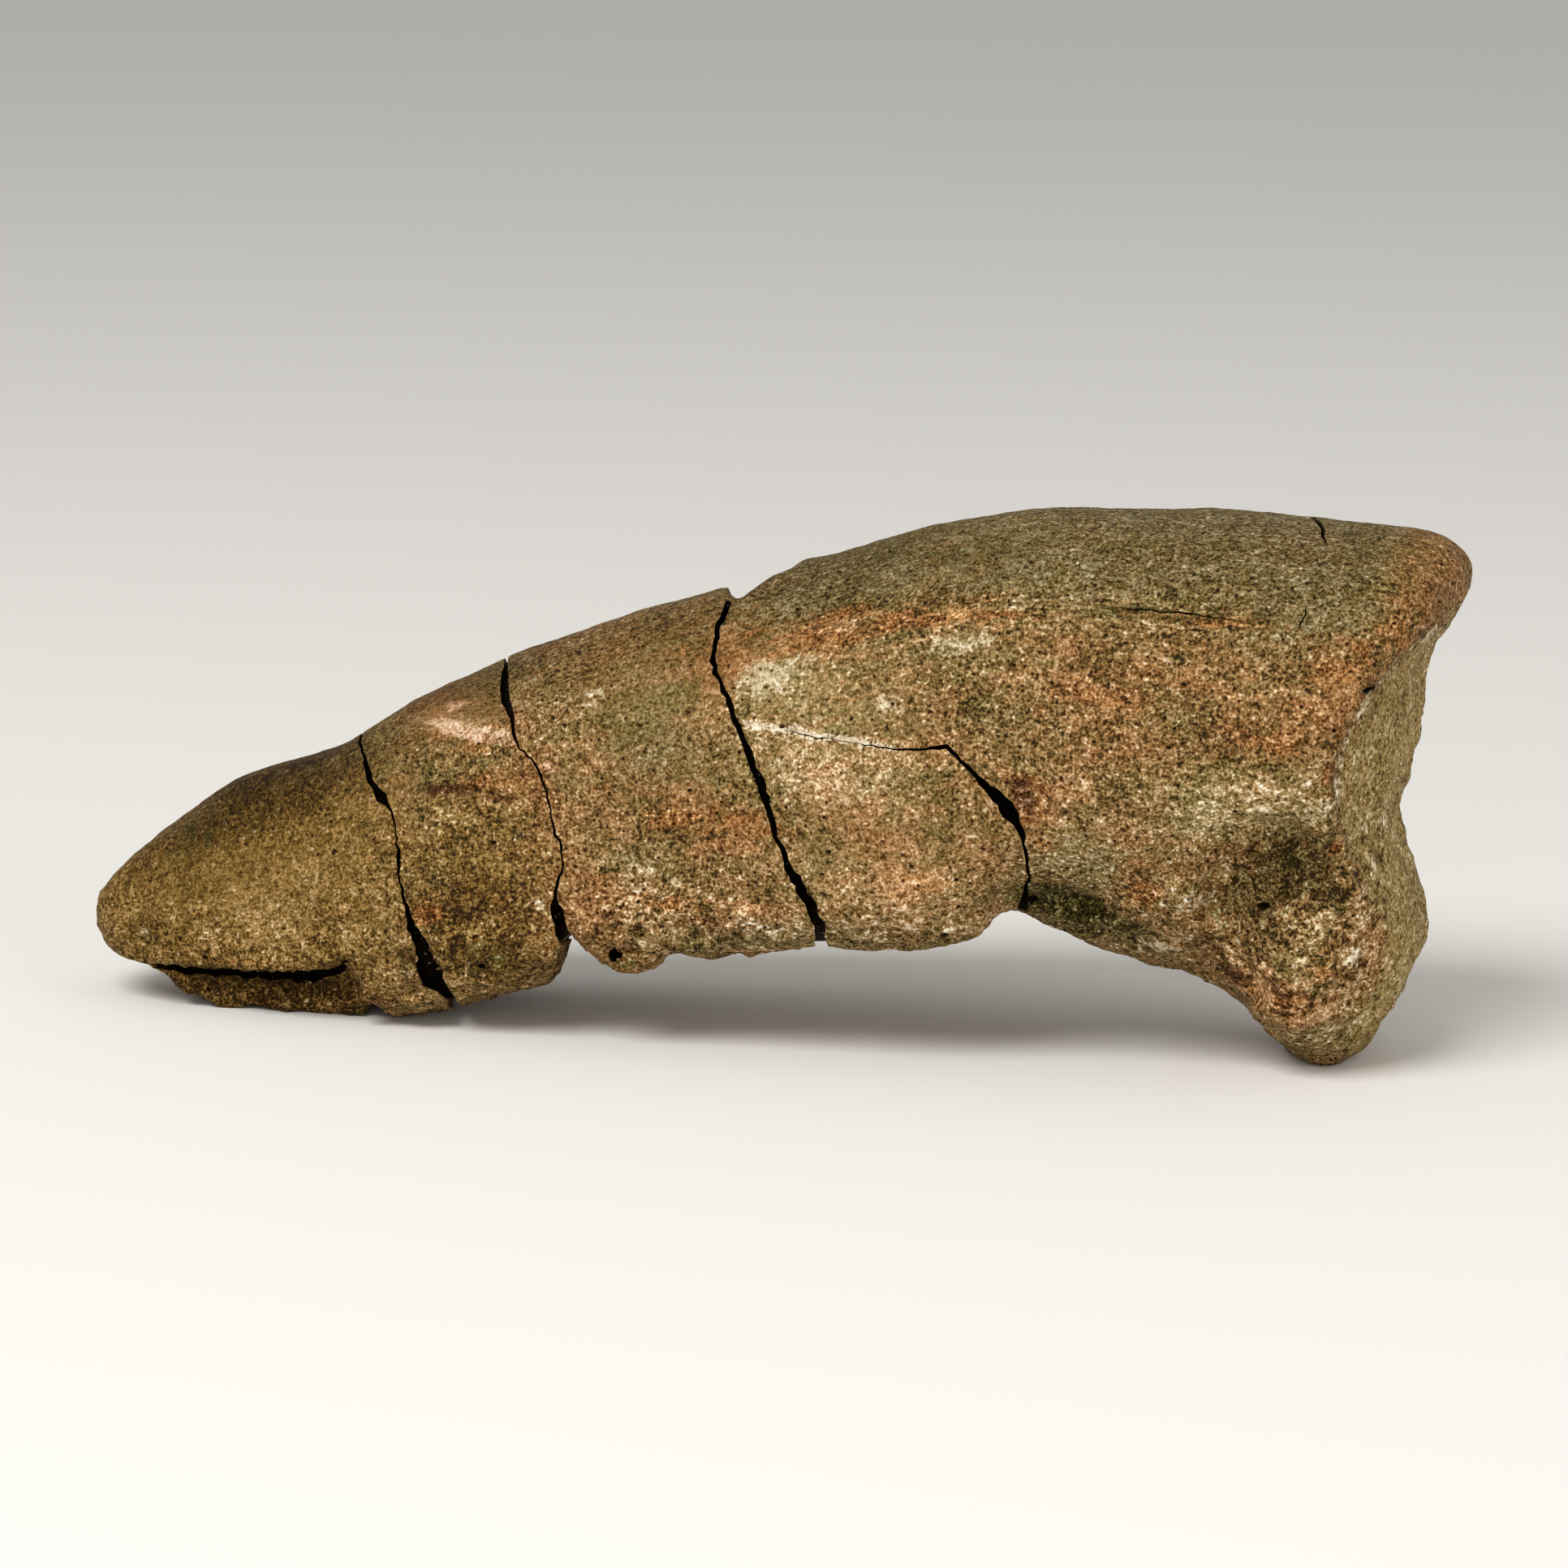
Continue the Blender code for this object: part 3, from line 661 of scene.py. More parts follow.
# stains as they lie on the near flank: x, z, reach along, reach across, turned, strength
stains = {
    "rust": (
        (5.6, 19.1, 7.5, 1.0, 9, 0.64), (2.5, 17.9, 3.0, 0.8, 8, 0.5), (11.8, 19.7, 2.2, 0.6, 0, 0.6),
        (20.5, 20.1, 4.0, 0.4, 0, 0.5), (26.2, 18.9, 1.9, 1.3, 0, 0.6), (24.6, 16.4, 3.4, 2.4, 0, 0.42),
        (29.4, 22.2, 2.2, 1.6, 0, 0.34), (28.4, 19.6, 1.2, 1.0, 0, 0.55), (16.0, 16.6, 4.0, 1.6, 0, 0.36),
        (-0.4, 10.5, 3.6, 1.1, 0, 0.66), (-1.4, 6.9, 5.0, 0.5, 0, 0.62), (-8.3, 12.8, 0.6, 1.6, 22, 0.55),
        (-13.6, 5.6, 1.1, 0.8, 0, 0.85), (-10.0, 6.4, 1.2, 0.8, 0, 0.45), (8.6, 8.2, 1.8, 0.9, 0, 0.5),
        (18.1, 8.2, 1.1, 0.9, 0, 0.7), (24.0, 3.9, 2.8, 1.0, -15, 0.62), (26.2, 5.4, 1.8, 1.6, 0, 0.45),
        (26.4, 10.6, 0.5, 0.4, 0, 0.8), (-0.1, 17.0, 0.8, 2.0, 0, 0.5), (22.6, 3.9, 1.2, 0.5, -20, 0.8),
        (14.0, 10.0, 1.0, 0.8, 0, 0.4), (5.2, 15.9, 1.4, 1.2, 0, 0.5), (13.4, 12.1, 1.2, 1.6, 30, 0.75),
        (-11.2, 11.3, 2.4, 0.5, 2, 0.6), (-12.3, 13.3, 2.6, 1.0, -4, 0.6),
        (-1.2, 17.6, 2.8, 0.7, 14, 0.4), (-24.0, 2.6, 3.0, 0.5, 0, 0.3),
    ),
    "chalk": (
        (1.6, 16.7, 1.8, 0.9, 24, 0.8), (3.2, 17.3, 1.2, 0.7, 24, 0.55), (10.0, 18.6, 2.4, 0.6, 12, 0.66),
        (-4.1, 8.5, 1.5, 0.9, 0, 0.55), (1.6, 6.1, 1.6, 0.6, 0, 0.5), (22.8, 13.1, 4.2, 1.4, 0, 0.21),
        (25.7, 12.3, 1.0, 0.8, 0, 0.6), (19.8, 8.1, 1.5, 0.8, 20, 0.52), (18.2, 5.3, 1.5, 0.6, -12, 0.66),
        (20.1, 5.9, 1.2, 0.5, -12, 0.45), (-6.5, 15.3, 1.6, 0.8, 0, 0.3), (-1.4, 7.6, 3.6, 0.9, 0, 0.3),
        (29.7, 19.2, 0.6, 0.9, 0, 0.6), (16.8, 17.4, 0.9, 0.6, 0, 0.3), (7.4, 16.0, 1.6, 0.8, 0, 0.3),
        (12.4, 20.3, 0.8, 0.5, 0, 0.4), (27.2, 5.6, 0.5, 1.4, 0, 0.5), (-8.9, 6.3, 1.2, 0.4, 0, 0.5),
        (6.5, 6.0, 5.0, 0.6, 0, 0.34), (25.5, 1.9, 2.0, 0.5, 20, 0.4), (-27.6, 3.2, 0.7, 0.5, 0, 0.55),
        (27.6, 11.0, 0.5, 4.0, 0, 0.3),
    ),
    # dark green stains; in the hollow beside the wedge's foot, in the pit on the base and under the tip's
    # ledge they are also painted shade
    "mossAndShade": (
        (14.2, 7.4, 2.8, 1.3, -16, 0.78), (17.0, 6.3, 2.2, 0.9, -20, 0.5), (24.6, 9.6, 2.6, 1.8, 0, 0.42),
        (22.2, 8.0, 2.6, 1.6, 0, 0.42), (25.4, 10.9, 1.3, 0.9, 0, 0.36), (9.0, 5.3, 5.0, 0.5, 2, 0.4),
        (-4.6, 3.9, 1.5, 0.6, 0, 0.5), (-10.4, 3.9, 2.0, 0.9, 0, 0.36), (23.0, 6.8, 2.2, 1.2, 0, 0.4),
        (1.8, 5.2, 3.0, 0.4, 3, 0.4), (-2.6, 9.9, 2.6, 0.4, 0, 0.4), (18.8, 20.3, 6.0, 0.4, 0, 0.45),
        (-22.0, 1.9, 5.0, 0.6, 0, 0.5), (-25.0, 7.9, 2.0, 0.8, 30, 0.4),
    ),
    # dark stains; the band at (-22.0, 1.7) under the tip's ledge and the spot in the pit on the rim at
    # (27.6, 17.6) are painted shade
    "darkStainAndShade": (
        (21.4, 4.8, 1.7, 0.6, -20, 0.75), (23.6, 4.2, 1.0, 0.5, -20, 0.5),
        (-12.6, 11.0, 2.2, 0.36, 3, 0.74), (-10.2, 10.9, 1.0, 0.34, -5, 0.6),
        (-14.6, 3.6, 0.6, 1.8, 12, 0.4), (13.2, 12.3, 0.7, 1.1, 35, 0.8), (27.6, 17.6, 0.4, 0.5, 0, 0.6),
        (26.3, 14.0, 0.25, 2.6, 4, 0.45), (-22.0, 1.7, 5.0, 0.35, 0, 0.6),
    ),
    "umber": (
        (-24.0, 6.0, 12.0, 9.0, 0, 1.3), (-11.5, 6.0, 5.0, 8.0, 0, 0.8), (29.0, 22.6, 2.6, 1.6, 0, 0.45),
    ),
    # glossy streaks: their roughness is lower, and their pale colour is a painted sheen
    "glassAndSheen": (
        (-12.4, 13.5, 2.0, 0.42, -5, 1.1), (-13.0, 14.4, 0.7, 0.3, 0, 0.75),
        (-10.4, 13.3, 0.8, 0.4, -8, 0.7), (13.6, 11.9, 0.7, 1.0, 30, 0.42),
        (-8.3, 12.6, 0.4, 1.4, 22, 0.5),
    ),
}

# lighter (+) and darker (-) places, and how strongly the grains stand out, as the stains are given; the
# darker places under the tip's ledge are painted shade, and those along the crest, on the tip's top, in
# the hollow beside the wedge and in the pit on the base are partly painted shade
tones = (
    (3.0, 16.2, 5.0, 2.4, 12, 0.1), (4.8, 13.0, 4.4, 2.0, -6, 0.23), (7.6, 8.0, 5.0, 2.4, 0, 0.13),
    (-20.0, 5.2, 6.0, 2.6, 14, 0.05), (-11.0, 5.0, 3.2, 3.0, 0, -0.17), (14.8, 7.0, 3.0, 1.4, -16, -0.08),
    (20.0, 15.6, 7.0, 3.0, 0, -0.03), (-22.0, 0.6, 7.0, 1.6, 0, -0.2), (1.8, 16.8, 2.4, 1.2, 20, 0.08),
    (8.4, 18.6, 3.0, 0.6, 10, 0.08), (15.5, 6.6, 3.4, 1.6, -16, -0.07), (24.6, 9.4, 2.8, 2.2, 10, -0.17),
    (20.6, 11.0, 1.2, 2.0, -35, 0.12), (19.6, 8.6, 1.2, 1.4, 0, 0.1), (-12.3, 13.6, 2.6, 0.6, -4, 0.2),
    (-21.5, 9.8, 7.0, 1.6, 24, -0.2), (29.5, 22.0, 2.0, 1.6, 0, 0.01), (-11.0, 8.6, 3.0, 2.4, 0, -0.03),
    (-20.6, 6.0, 4.4, 1.8, 12, 0.06), (-22.0, 4.0, 5.0, 1.0, 6, 0.05), (22.5, 12.9, 4.2, 1.7, 0, 0.17),
    (14.2, 22.0, 1.8, 0.8, 0, 0.05), (-22.4, 10.6, 6.0, 0.5, 22, -0.1), (-21.5, 1.5, 6.0, 0.5, 0, -0.14),
    (26.0, 4.0, 3.0, 3.6, 0, 0.08), (9.0, 6.0, 5.0, 1.2, 0, 0.05), (-0.5, 6.4, 5.0, 1.6, 0, 0.06),
    (16.0, 11.0, 4.0, 3.0, 0, 0.07), (4.0, 21.0, 6.0, 1.2, 16, -0.07), (-12.0, 15.6, 5.0, 1.0, 22, -0.08),
    (-3.5, 18.4, 4.0, 0.9, 14, -0.07),
)
liveliness = (
    (-22.0, 8.5, 10.0, 3.6, 22, -0.32), (-13.0, 14.4, 3.0, 1.6, 0, -0.4), (6.5, 10.5, 5.5, 3.0, 0, -0.1),
    (-2.0, 17.0, 6.0, 2.4, 14, -0.3), (-22.0, 5.0, 8.0, 3.0, 10, -0.08), (-3.0, 13.0, 4.0, 2.4, 0, -0.15),
    (5.0, 16.0, 5.0, 2.4, 0, -0.15), (-1.0, 6.4, 7.0, 2.2, 0, 0.15), (18.0, 14.0, 9.0, 6.0, 0, 0.08),
    (8.0, 22.0, 6.0, 1.6, 10, -0.2), (15.0, 7.5, 4.0, 2.6, 0, 0.2), (24.0, 8.0, 4.0, 4.0, 0, 0.2),
)
# how blotched each place is
mottling = (
    (23.8, 8.8, 3.6, 3.0, 20, 0.6), (20.6, 6.2, 3.6, 2.0, -10, 0.4), (25.5, 4.2, 3.4, 2.6, 0, 0.55),
    (15.5, 6.8, 3.6, 1.8, -14, 0.55), (-1.0, 5.4, 6.0, 1.8, 0, 0.5), (-10.6, 4.4, 3.4, 3.0, 0, 0.3),
    (8.5, 6.0, 5.0, 1.4, 0, 0.3), (-13.0, 4.0, 3.0, 3.0, 0, 0.3), (27.4, 8.0, 1.4, 4.0, 0, 0.3),
    (-11.8, 10.2, 3.0, 1.4, 0, 0.4), (22.6, 13.0, 4.0, 1.6, 0, 0.1), (-22.0, 3.0, 6.0, 1.6, 0, 0.2),
)
# redder (+) and greener (-) places
warmPlaces = (
    (20.5, 17.0, 8.0, 3.0, 0, 0.26), (29.5, 21.6, 2.0, 2.2, 0, 0.5), (26.6, 17.0, 1.4, 3.4, 0, 0.35),
    (13.6, 12.0, 1.3, 1.5, 30, 0.55), (17.8, 8.9, 0.9, 1.6, 0, 0.4), (23.6, 3.8, 3.0, 1.2, -30, 0.6),
    (23.4, 7.0, 2.0, 0.9, 0, 0.3), (-0.6, 10.4, 3.0, 1.5, 0, 0.5), (-0.2, 17.0, 1.5, 1.8, 0, 0.45),
    (4.0, 19.0, 4.0, 0.7, 9, 0.5), (-13.0, 14.2, 3.4, 0.9, 0, 0.35), (-10.5, 11.2, 2.4, 1.0, 0, 0.45),
    (-8.8, 12.0, 1.2, 3.2, 20, 0.35), (-11.0, 5.6, 3.2, 1.8, 0, 0.4), (-28.0, 4.2, 2.5, 2.0, 0, 0.35),
    (-22.0, 1.0, 7.0, 1.1, 0, 0.4), (-5.8, 6.4, 1.8, 1.8, 0, 0.35), (-1.0, 6.2, 2.6, 0.6, 0, 0.3),
    (9.0, 9.6, 3.0, 1.4, 0, 0.16), (19.0, 12.6, 2.4, 1.0, 0, 0.14), (1.6, 16.4, 2.4, 1.8, 0, -0.34),
    (10.5, 18.3, 2.2, 0.9, 0, -0.3), (-4.3, 15.0, 3.2, 2.0, 0, -0.2), (-22.0, 9.0, 7.0, 2.4, 22, 0.12),
    (-5.0, 8.9, 1.4, 1.3, 0, -0.4), (15.8, 9.8, 1.8, 2.2, 0, -0.42), (22.6, 12.4, 3.8, 2.0, 0, -0.4),
    (15.2, 6.8, 3.4, 1.5, -15, -0.6), (25.8, 1.6, 2.6, 0.9, 0, -0.5), (2.5, 5.2, 9.0, 0.9, 0, -0.4),
    (6.0, 14.9, 4.0, 1.2, 0, -0.2), (-17.0, 11.6, 3.0, 1.2, 20, -0.2), (12.4, 16.0, 3.0, 1.6, 0, -0.12),
)
everywhere = {"rust": 0.08, "olive": 0.06}  # faint blotches of these stains all over
olivePlaces = (
    (15.0, 9.6, 3.0, 1.8, 0, 0.5), (-3.0, 13.4, 3.0, 1.8, 0, 0.45), (12.0, 15.6, 3.0, 1.0, 0, 0.4),
)
crestOlive = {"shaft": 0.3, "base": 0.66}  # how strong the olive is along the crest
# lines along the rim of the joint face: mm behind it, half width with and without a soft edge, strength
rimStains = {
    "chalk": (0.15, 0.24, 0.08, 0.72),
    "rust": (-0.35, 0.4, 0.12, 0.55),
}
veinLine = {
    "start": [(0.9, 14.85), (1.9, 14.82)],  # x, z before the crack begins
    "follows": 7,  # points of the crack's path
    "raised": 0.06,  # mm above the crack
    "halfWidth": (0.05, 0.17),  # mm, without and with its soft edge
    "fade": (8.4, 6.2),  # x where it has ended, and where it is full
}
# other fields: what they start from, how much their places count, the places, what parts of the bone add
wholeFields = {
    # the darker crest and keel in the tone are partly painted shade
    "tone": (0.0, 1.0, tones, {"tip": -0.02, "crest": -0.05, "keel": -0.03, "joint": 0.06}),
    "liveliness": (1.0, 1.0, liveliness, {"crest": -0.05, "joint": -0.05}),
    "warm": (0.0, 0.85, warmPlaces, {"baseCrest": -0.25}),
    "mottle": (0.0, 1.0, mottling, {}),
    # glints: where the painted highlights gather, fewer on the crest and underneath
    "glints": (0.7, 1.0, ((-1.0, 6.4, 9.0, 3.0, 0, 0.2),), {"crest": -0.5, "underside": -0.3}),
    "fibres": (0.35, 1.0, ((17.5, 20.0, 7.0, 1.0, 0, 0.9), (4.0, 19.2, 9.0, 1.2, 9, 0.5)), {}),
}
farFlank = {
    "moveX": 2.5,  # mm, the most that a stain is moved
    "moveZ": 1.2,
    "strength": 0.8,
}
darkeningDepth = 0.24  # mm into a break or pore, where its wall is fully darkened, as earth and painted shade


def painted(places, faint=0.0):
    # the near flank as given; the far one with every place moved a little
    field = np.full(len(points), faint)
    for x, z, reachX, reachZ, turned, strength in places:
        movedX = x + dice.uniform(-farFlank["moveX"], farFlank["moveX"])
        movedZ = z + dice.uniform(-farFlank["moveZ"], farFlank["moveZ"])
        moved = blob(flat, movedX, movedZ, reachX, reachZ, turned)
        field = np.maximum(field, blob(flat, x, z, reachX, reachZ, turned) * strength * nearSide)
        field = np.maximum(field, moved * strength * farFlank["strength"] * farSide)
    return field


def summed(places):
    return sum(blob(flat, *place[:5]) * place[5] for place in places)


fields = {name: painted(places, everywhere.get(name, 0.0)) for name, places in stains.items()}
dorsal = ramp(share, 0.72, 0.92)
fromShaft = ramp(along, -1, 3)  # 0 on the shaft, 1 on the base
crestStrength = crestOlive["shaft"] + (crestOlive["base"] - crestOlive["shaft"]) * fromShaft
fields["olive"] = dorsal * ramp(along, 29.5, 26.5) * crestStrength
fields["olive"] = np.maximum(fields["olive"], painted(olivePlaces, everywhere["olive"]))
behind = behindRim(points)
fields["joint"] = ramp(behind, 0.0, 0.3) * ramp(up, 21.0, 19.5)
rimPart = ramp(up, 11.5, 13.0) * ramp(up, 20.5, 19.0)
rimPart *= ramp(abs(across), 4.0, 6.0)
for name, (middle, outer, inner, strength) in rimStains.items():
    line = ramp(abs(behind - middle), outer, inner) * rimPart * strength
    fields[name] = np.maximum(fields[name], line)

# a pale mineral vein fills the crack along the wedge's upper edge
wedge = breakPaths["wedgeBreak"]
veinPath = veinLine["start"] + [row[:2] for row in wedge["path"][:veinLine["follows"]]]
seenFlat = slidTo(points, wedge["faceY"]) - np.array((0, veinLine["raised"]))
fields["vein"] = pathNearness(seenFlat, veinPath, *veinLine["halfWidth"]) * nearSide
fields["vein"] *= ramp(along, *veinLine["fade"])

# inside the breaks and pores the walls darken with depth: partly earth, partly painted shade
depth = np.array([unbroken.find_nearest(Vector(row))[3] for row in points * mm]) / mm
fields["earthAndShade"] = np.clip(depth / darkeningDepth, 0, 5)

boneParts = {
    "tip": ramp(along, -9, -12),
    "crest": dorsal,
    "baseCrest": dorsal * ramp(along, 29.0, 27.0) * ramp(along, -1, 4),
    "keel": ramp(share, 0.12, 0.0),
    "underside": ramp(up, 2.2, 1.6),
    "joint": fields["joint"],
}
for name, (base, counts, places, parts) in wholeFields.items():
    fields[name] = base + counts * summed(places)
    for part, weight in parts.items():
        fields[name] = fields[name] + weight * boneParts[part]
fields["mottle"] = np.clip(fields["mottle"], 0, 1)
for name, field in fields.items():
    attribute = bone.data.attributes.new(name, "FLOAT", "POINT")
    attribute.data.foreach_set("value", field.astype(np.float32))
print("stains painted")


# the finish

boneFinish = {
    # each row of grains runs from the pits, through the ground, to the crystals
    "grains": {
        "warm": ("#2a1507", "#67441f", "#926940", "#ba8f64", "#eed4b0"),
        "cool": ("#1e1808", "#5b4b23", "#826f44", "#aa9569", "#e8debc"),
        "umber": ("#1c1103", "#533b12", "#816431", "#a78655", "#e2cba3"),
        "joint": ("#30230b", "#6a5528", "#937b49", "#b39b6e", "#e7ddbc"),
        "olive": ("#1b1608", "#4e4524", "#766848", "#9e8f69", "#d9d0af"),
        "rust": ("#260d02", "#623711", "#9a693b", "#c0905b", "#efcfa2"),
        "chalk": ("#3a2a12", "#826e4a", "#b19e7a", "#d6c8a7", "#f8f3e2"),
        "darkStainAndShade": ("#070200", "#241006", "#432411", "#6d4629", "#b29072"),
        "mossAndShade": ("#0a0901", "#292408", "#4a4319", "#706636", "#aca278"),
        "glassAndSheen": ("#43240e", "#8e633e", "#c29d7a", "#e8ceb4", "#fff2e4"),
        "vein": ("#5a4a32", "#9a8566", "#bfac8e", "#dccdb2", "#f6eedd"),
        "earthAndShade": ("#010100", "#060300", "#100903", "#1d1206", "#4a3519"),
    },
    "grainPlaces": (0.0, 0.28, 0.52, 0.76, 1.0),
    # patterns of noise: way, size in mm, detail, roughness, and the ends between which they are spread
    "patterns": {
        "broad": ("even", 4.5, 3.0, 0.55, 0.36, 0.64),
        "medium": ("even", 1.7, 3.0, 0.6, 0.31, 0.69),
        "small": ("even", 0.6, 2.0, 0.6, 0.27, 0.73),
        "speck": ("even", 0.26, 1.0, 0.5, 0.25, 0.75),
        "grain": ("even", 0.12, 1.0, 0.5, 0.22, 0.78),
        "streak": ("fibrous", 0.6, 3.0, 0.6, 0.31, 0.69),
        "hair": ("fibrous", 0.17, 2.0, 0.6, 0.3, 0.7),
    },
    # scattered dots: way, spacing in mm, share of the places taken, and the two ends of their soft edge
    "dots": {
        "fleck": ("drawn", 0.22, 0.30, 0.10, 0.34),
        "pore": ("even", 0.31, 0.30, 0.10, 0.30),
        "pinhole": ("even", 0.62, 0.27, 0.08, 0.17),
    },
    "fullDots": 0.6,  # share of the dots that are at full strength
    # sums of patterns
    "sums": {
        "patchy": (("medium", 0.5), ("small", 0.75), ("speck", 0.6), ("crystal", 0.15)),
        "streaky": (("streak", 0.7), ("hair", 0.4), ("small", 0.3), ("speck", 0.3)),
        "warmth": (("broad", 0.4), ("medium", 0.45), ("small", 0.5), ("streak", 0.5)),
        "granular": (
            ("grain", 0.78), ("speck", 0.36), ("small", 0.22), ("medium", 0.18), ("crystal", 0.26),
            ("fleck", 0.42), ("pore", -0.45), ("pinhole", -0.62),
        ),
        "blotched": (("small", 0.75), ("speck", 0.35), ("medium", 0.5)),
        "relief": (("small", 0.6), ("grain", 0.5), ("speck", 0.6), ("pore", -0.5)),
    },
    # what covers what, the topmost last: field, the pattern that breaks its edge up, where it starts,
    # where it is full, how strong it gets
    "layers": (
        ("umber", "patchy", 0.3, 0.95, 0.92),
        ("joint", "patchy", 0.22, 1.05, 1.0),
        ("olive", "patchy", 0.3, 0.9, 0.92),
        ("rust", "streaky", 0.35, 0.85, 0.9),
        ("mossAndShade", "patchy", 0.3, 0.75, 0.9),
        ("darkStainAndShade", "streaky", 0.3, 0.75, 0.9),
        ("chalk", "patchy", 0.36, 0.8, 0.92),
        ("glassAndSheen", "streaky", 0.35, 0.8, 0.9),
        ("vein", "granular", 0.2, 0.6, 0.95),
        ("earthAndShade", "granular", 0.1, 0.6, 1.0),
    ),
    "paintedEnd": 0.12,  # painted strength from which a stain can be full
    "crystalSize": 0.17,  # mm
    # colour of the painted highlights on the crystals
    "glint": "#f6ead2",
    "glintShare": 0.08,  # of all crystals
    "glintDisc": (0.45, 0.15),  # from a crystal's middle: where a glint ends, and where it is full
    "glintClusters": (-0.1, 0.4, 0.15),  # ends of the pattern that gathers them, and the least share
    "grainStretch": 1.6,
    "fibreStretch": 7.0,
    "fibreWeight": 0.45,
    "ground": 0.413,  # where on its row of grains the ground lies
    "warmEnds": (-0.5, 0.46),  # where the ground is all cool, and where it is all warm
    "bumpHeight": 0.13,  # mm
    "bumpStrength": 0.8,
    "roughness": (-0.3, 0.4, 0.82, 0.55),  # the ends of the grain, and the roughness at each
    "shine": -0.35,  # what glass and glints add to the roughness
    "refraction": 1.54,
    "specular": 0.12,
    "specularTint": "#ffe3bd",
    "smoothAngle": 50,  # degrees, above which an edge stays sharp
}


def mineralisedBone():
    # cleaned by hand and unpolished: matt and granular, with open pores and tiny crystal glints, painted
    # into the colour as highlights
    material = bpy.data.materials.new("mineralised bone, hand cleaned")
    material.use_nodes = True
    tree = material.node_tree
    tree.nodes.clear()
    timesPlus = {"operation": "MULTIPLY_ADD"}
    mixed = {"out": 2, "data_type": "RGBA"}

    place = addNode(tree, "TexCoord", out="Object")
    along = addNode(tree, "Attribute", out="Vector", attribute_name="grainWay")
    ways = {}  # where a pattern is looked up, in mm
    for name, source, scale in (
        ("even", place, (1 / mm, 1 / mm, 1 / mm)),
        ("drawn", along, (1 / boneFinish["grainStretch"], 1, 1)),
        ("fibrous", along, (1 / boneFinish["fibreStretch"], 1, 1)),
    ):
        ways[name] = addNode(tree, "Mapping", {"Vector": source, "Scale": scale})
    seen = {name: addNode(tree, "Attribute", out="Fac", attribute_name=name) for name in fields}
    for name, (way, size, detail, roughness, low, high) in boneFinish["patterns"].items():
        cloud = addNode(tree, "TexNoise", {
            "Vector": ways[way], "Scale": 1 / size, "Detail": detail, "Roughness": roughness,
        })
        seen[name] = addNode(tree, "MapRange", {0: cloud, 1: low, 2: high, 3: -0.5, 4: 0.5})
    # a mosaic of crystals, each with a lightness of its own; the lightest ones get a painted highlight, a
    # cream-white glint
    crystal = addNode(tree, "TexVoronoi", {
        "Vector": ways["even"], "Scale": 1 / boneFinish["crystalSize"],
    }, out="Distance")
    chance = addNode(tree, "SeparateColor", {0: crystal.node.outputs["Color"]})
    seen["crystal"] = addNode(tree, "Math", {0: chance, 1: 0.5}, operation="SUBTRACT")
    bright = addNode(tree, "MapRange", {0: chance, 1: 1 - boneFinish["glintShare"], 2: 1.0})
    discEnd, discFull = boneFinish["glintDisc"]
    middle = addNode(tree, "MapRange", {0: crystal, 1: discEnd, 2: discFull})
    glint = addNode(tree, "Math", {0: bright, 1: middle}, operation="MULTIPLY")
    low, high, least = boneFinish["glintClusters"]
    cluster = addNode(tree, "MapRange", {0: seen["small"], 1: low, 2: high, 3: least})
    for factor in (cluster, seen["glints"]):
        glint = addNode(tree, "Math", {0: glint, 1: factor}, operation="MULTIPLY")
    for name, (way, size, taken, inner, outer) in boneFinish["dots"].items():
        cell = addNode(tree, "TexVoronoi", {"Vector": ways[way], "Scale": 1 / size}, out="Distance")
        picked = addNode(tree, "SeparateColor", {0: cell.node.outputs["Color"]})
        full = 1 - taken * boneFinish["fullDots"]
        picked = addNode(tree, "MapRange", {0: picked, 1: 1 - taken, 2: full})
        disc = addNode(tree, "MapRange", {0: cell, 1: outer, 2: inner})
        seen[name] = addNode(tree, "Math", {0: picked, 1: disc}, operation="MULTIPLY")
    for name, parts in boneFinish["sums"].items():
        seen[name] = 0.0
        for part, weight in parts:
            seen[name] = addNode(tree, "Math", {0: seen[part], 1: weight, 2: seen[name]}, **timesPlus)

    # lightness: the place on each row of grains
    fibreWeight, ground = boneFinish["fibreWeight"], boneFinish["ground"]
    fibres = addNode(tree, "Math", {0: seen["hair"], 1: seen["fibres"]}, operation="MULTIPLY")
    lightness = addNode(tree, "Math", {0: fibres, 1: fibreWeight, 2: seen["granular"]}, **timesPlus)
    lightness = addNode(tree, "Math", {0: lightness, 1: seen["liveliness"], 2: ground}, **timesPlus)
    lightness = addNode(tree, "Math", {0: seen["blotched"], 1: seen["mottle"], 2: lightness}, **timesPlus)
    lightness = addNode(tree, "Math", {0: lightness, 1: seen["tone"]}, operation="ADD")
    grains = {}
    for name, hexes in boneFinish["grains"].items():
        first, *inner, last = zip(boneFinish["grainPlaces"], hexes)
        grains[name] = addNode(tree, "ValToRGB", {0: lightness}, stops=[first, last, *inner])

    warmth = addNode(tree, "Math", {0: seen["warmth"], 1: seen["warm"]}, operation="ADD")
    coolEnd, warmEnd = boneFinish["warmEnds"]
    warmth = addNode(tree, "MapRange", {0: warmth, 1: coolEnd, 2: warmEnd})
    colour = addNode(tree, "Mix", {0: warmth, 6: grains["cool"], 7: grains["warm"]}, **mixed)
    for name, pattern, low, high, strongest in boneFinish["layers"]:
        # a stain shows where its painted strength beats the pattern, so that its edge breaks up into
        # grains; the gate keeps it away where none is painted
        amount = addNode(tree, "Math", {0: seen[name], 1: seen[pattern]}, operation="ADD")
        gate = addNode(tree, "MapRange", {0: seen[name], 2: boneFinish["paintedEnd"], 4: strongest})
        amount = addNode(tree, "MapRange", {0: amount, 1: low, 2: high, 4: gate})
        colour = addNode(tree, "Mix", {0: amount, 6: colour, 7: grains[name]}, **mixed)
    # painted highlights: the glints are mixed into the colour as cream-white
    colour = addNode(tree, "Mix", {0: glint, 6: colour, 7: linearColour(boneFinish["glint"])}, **mixed)

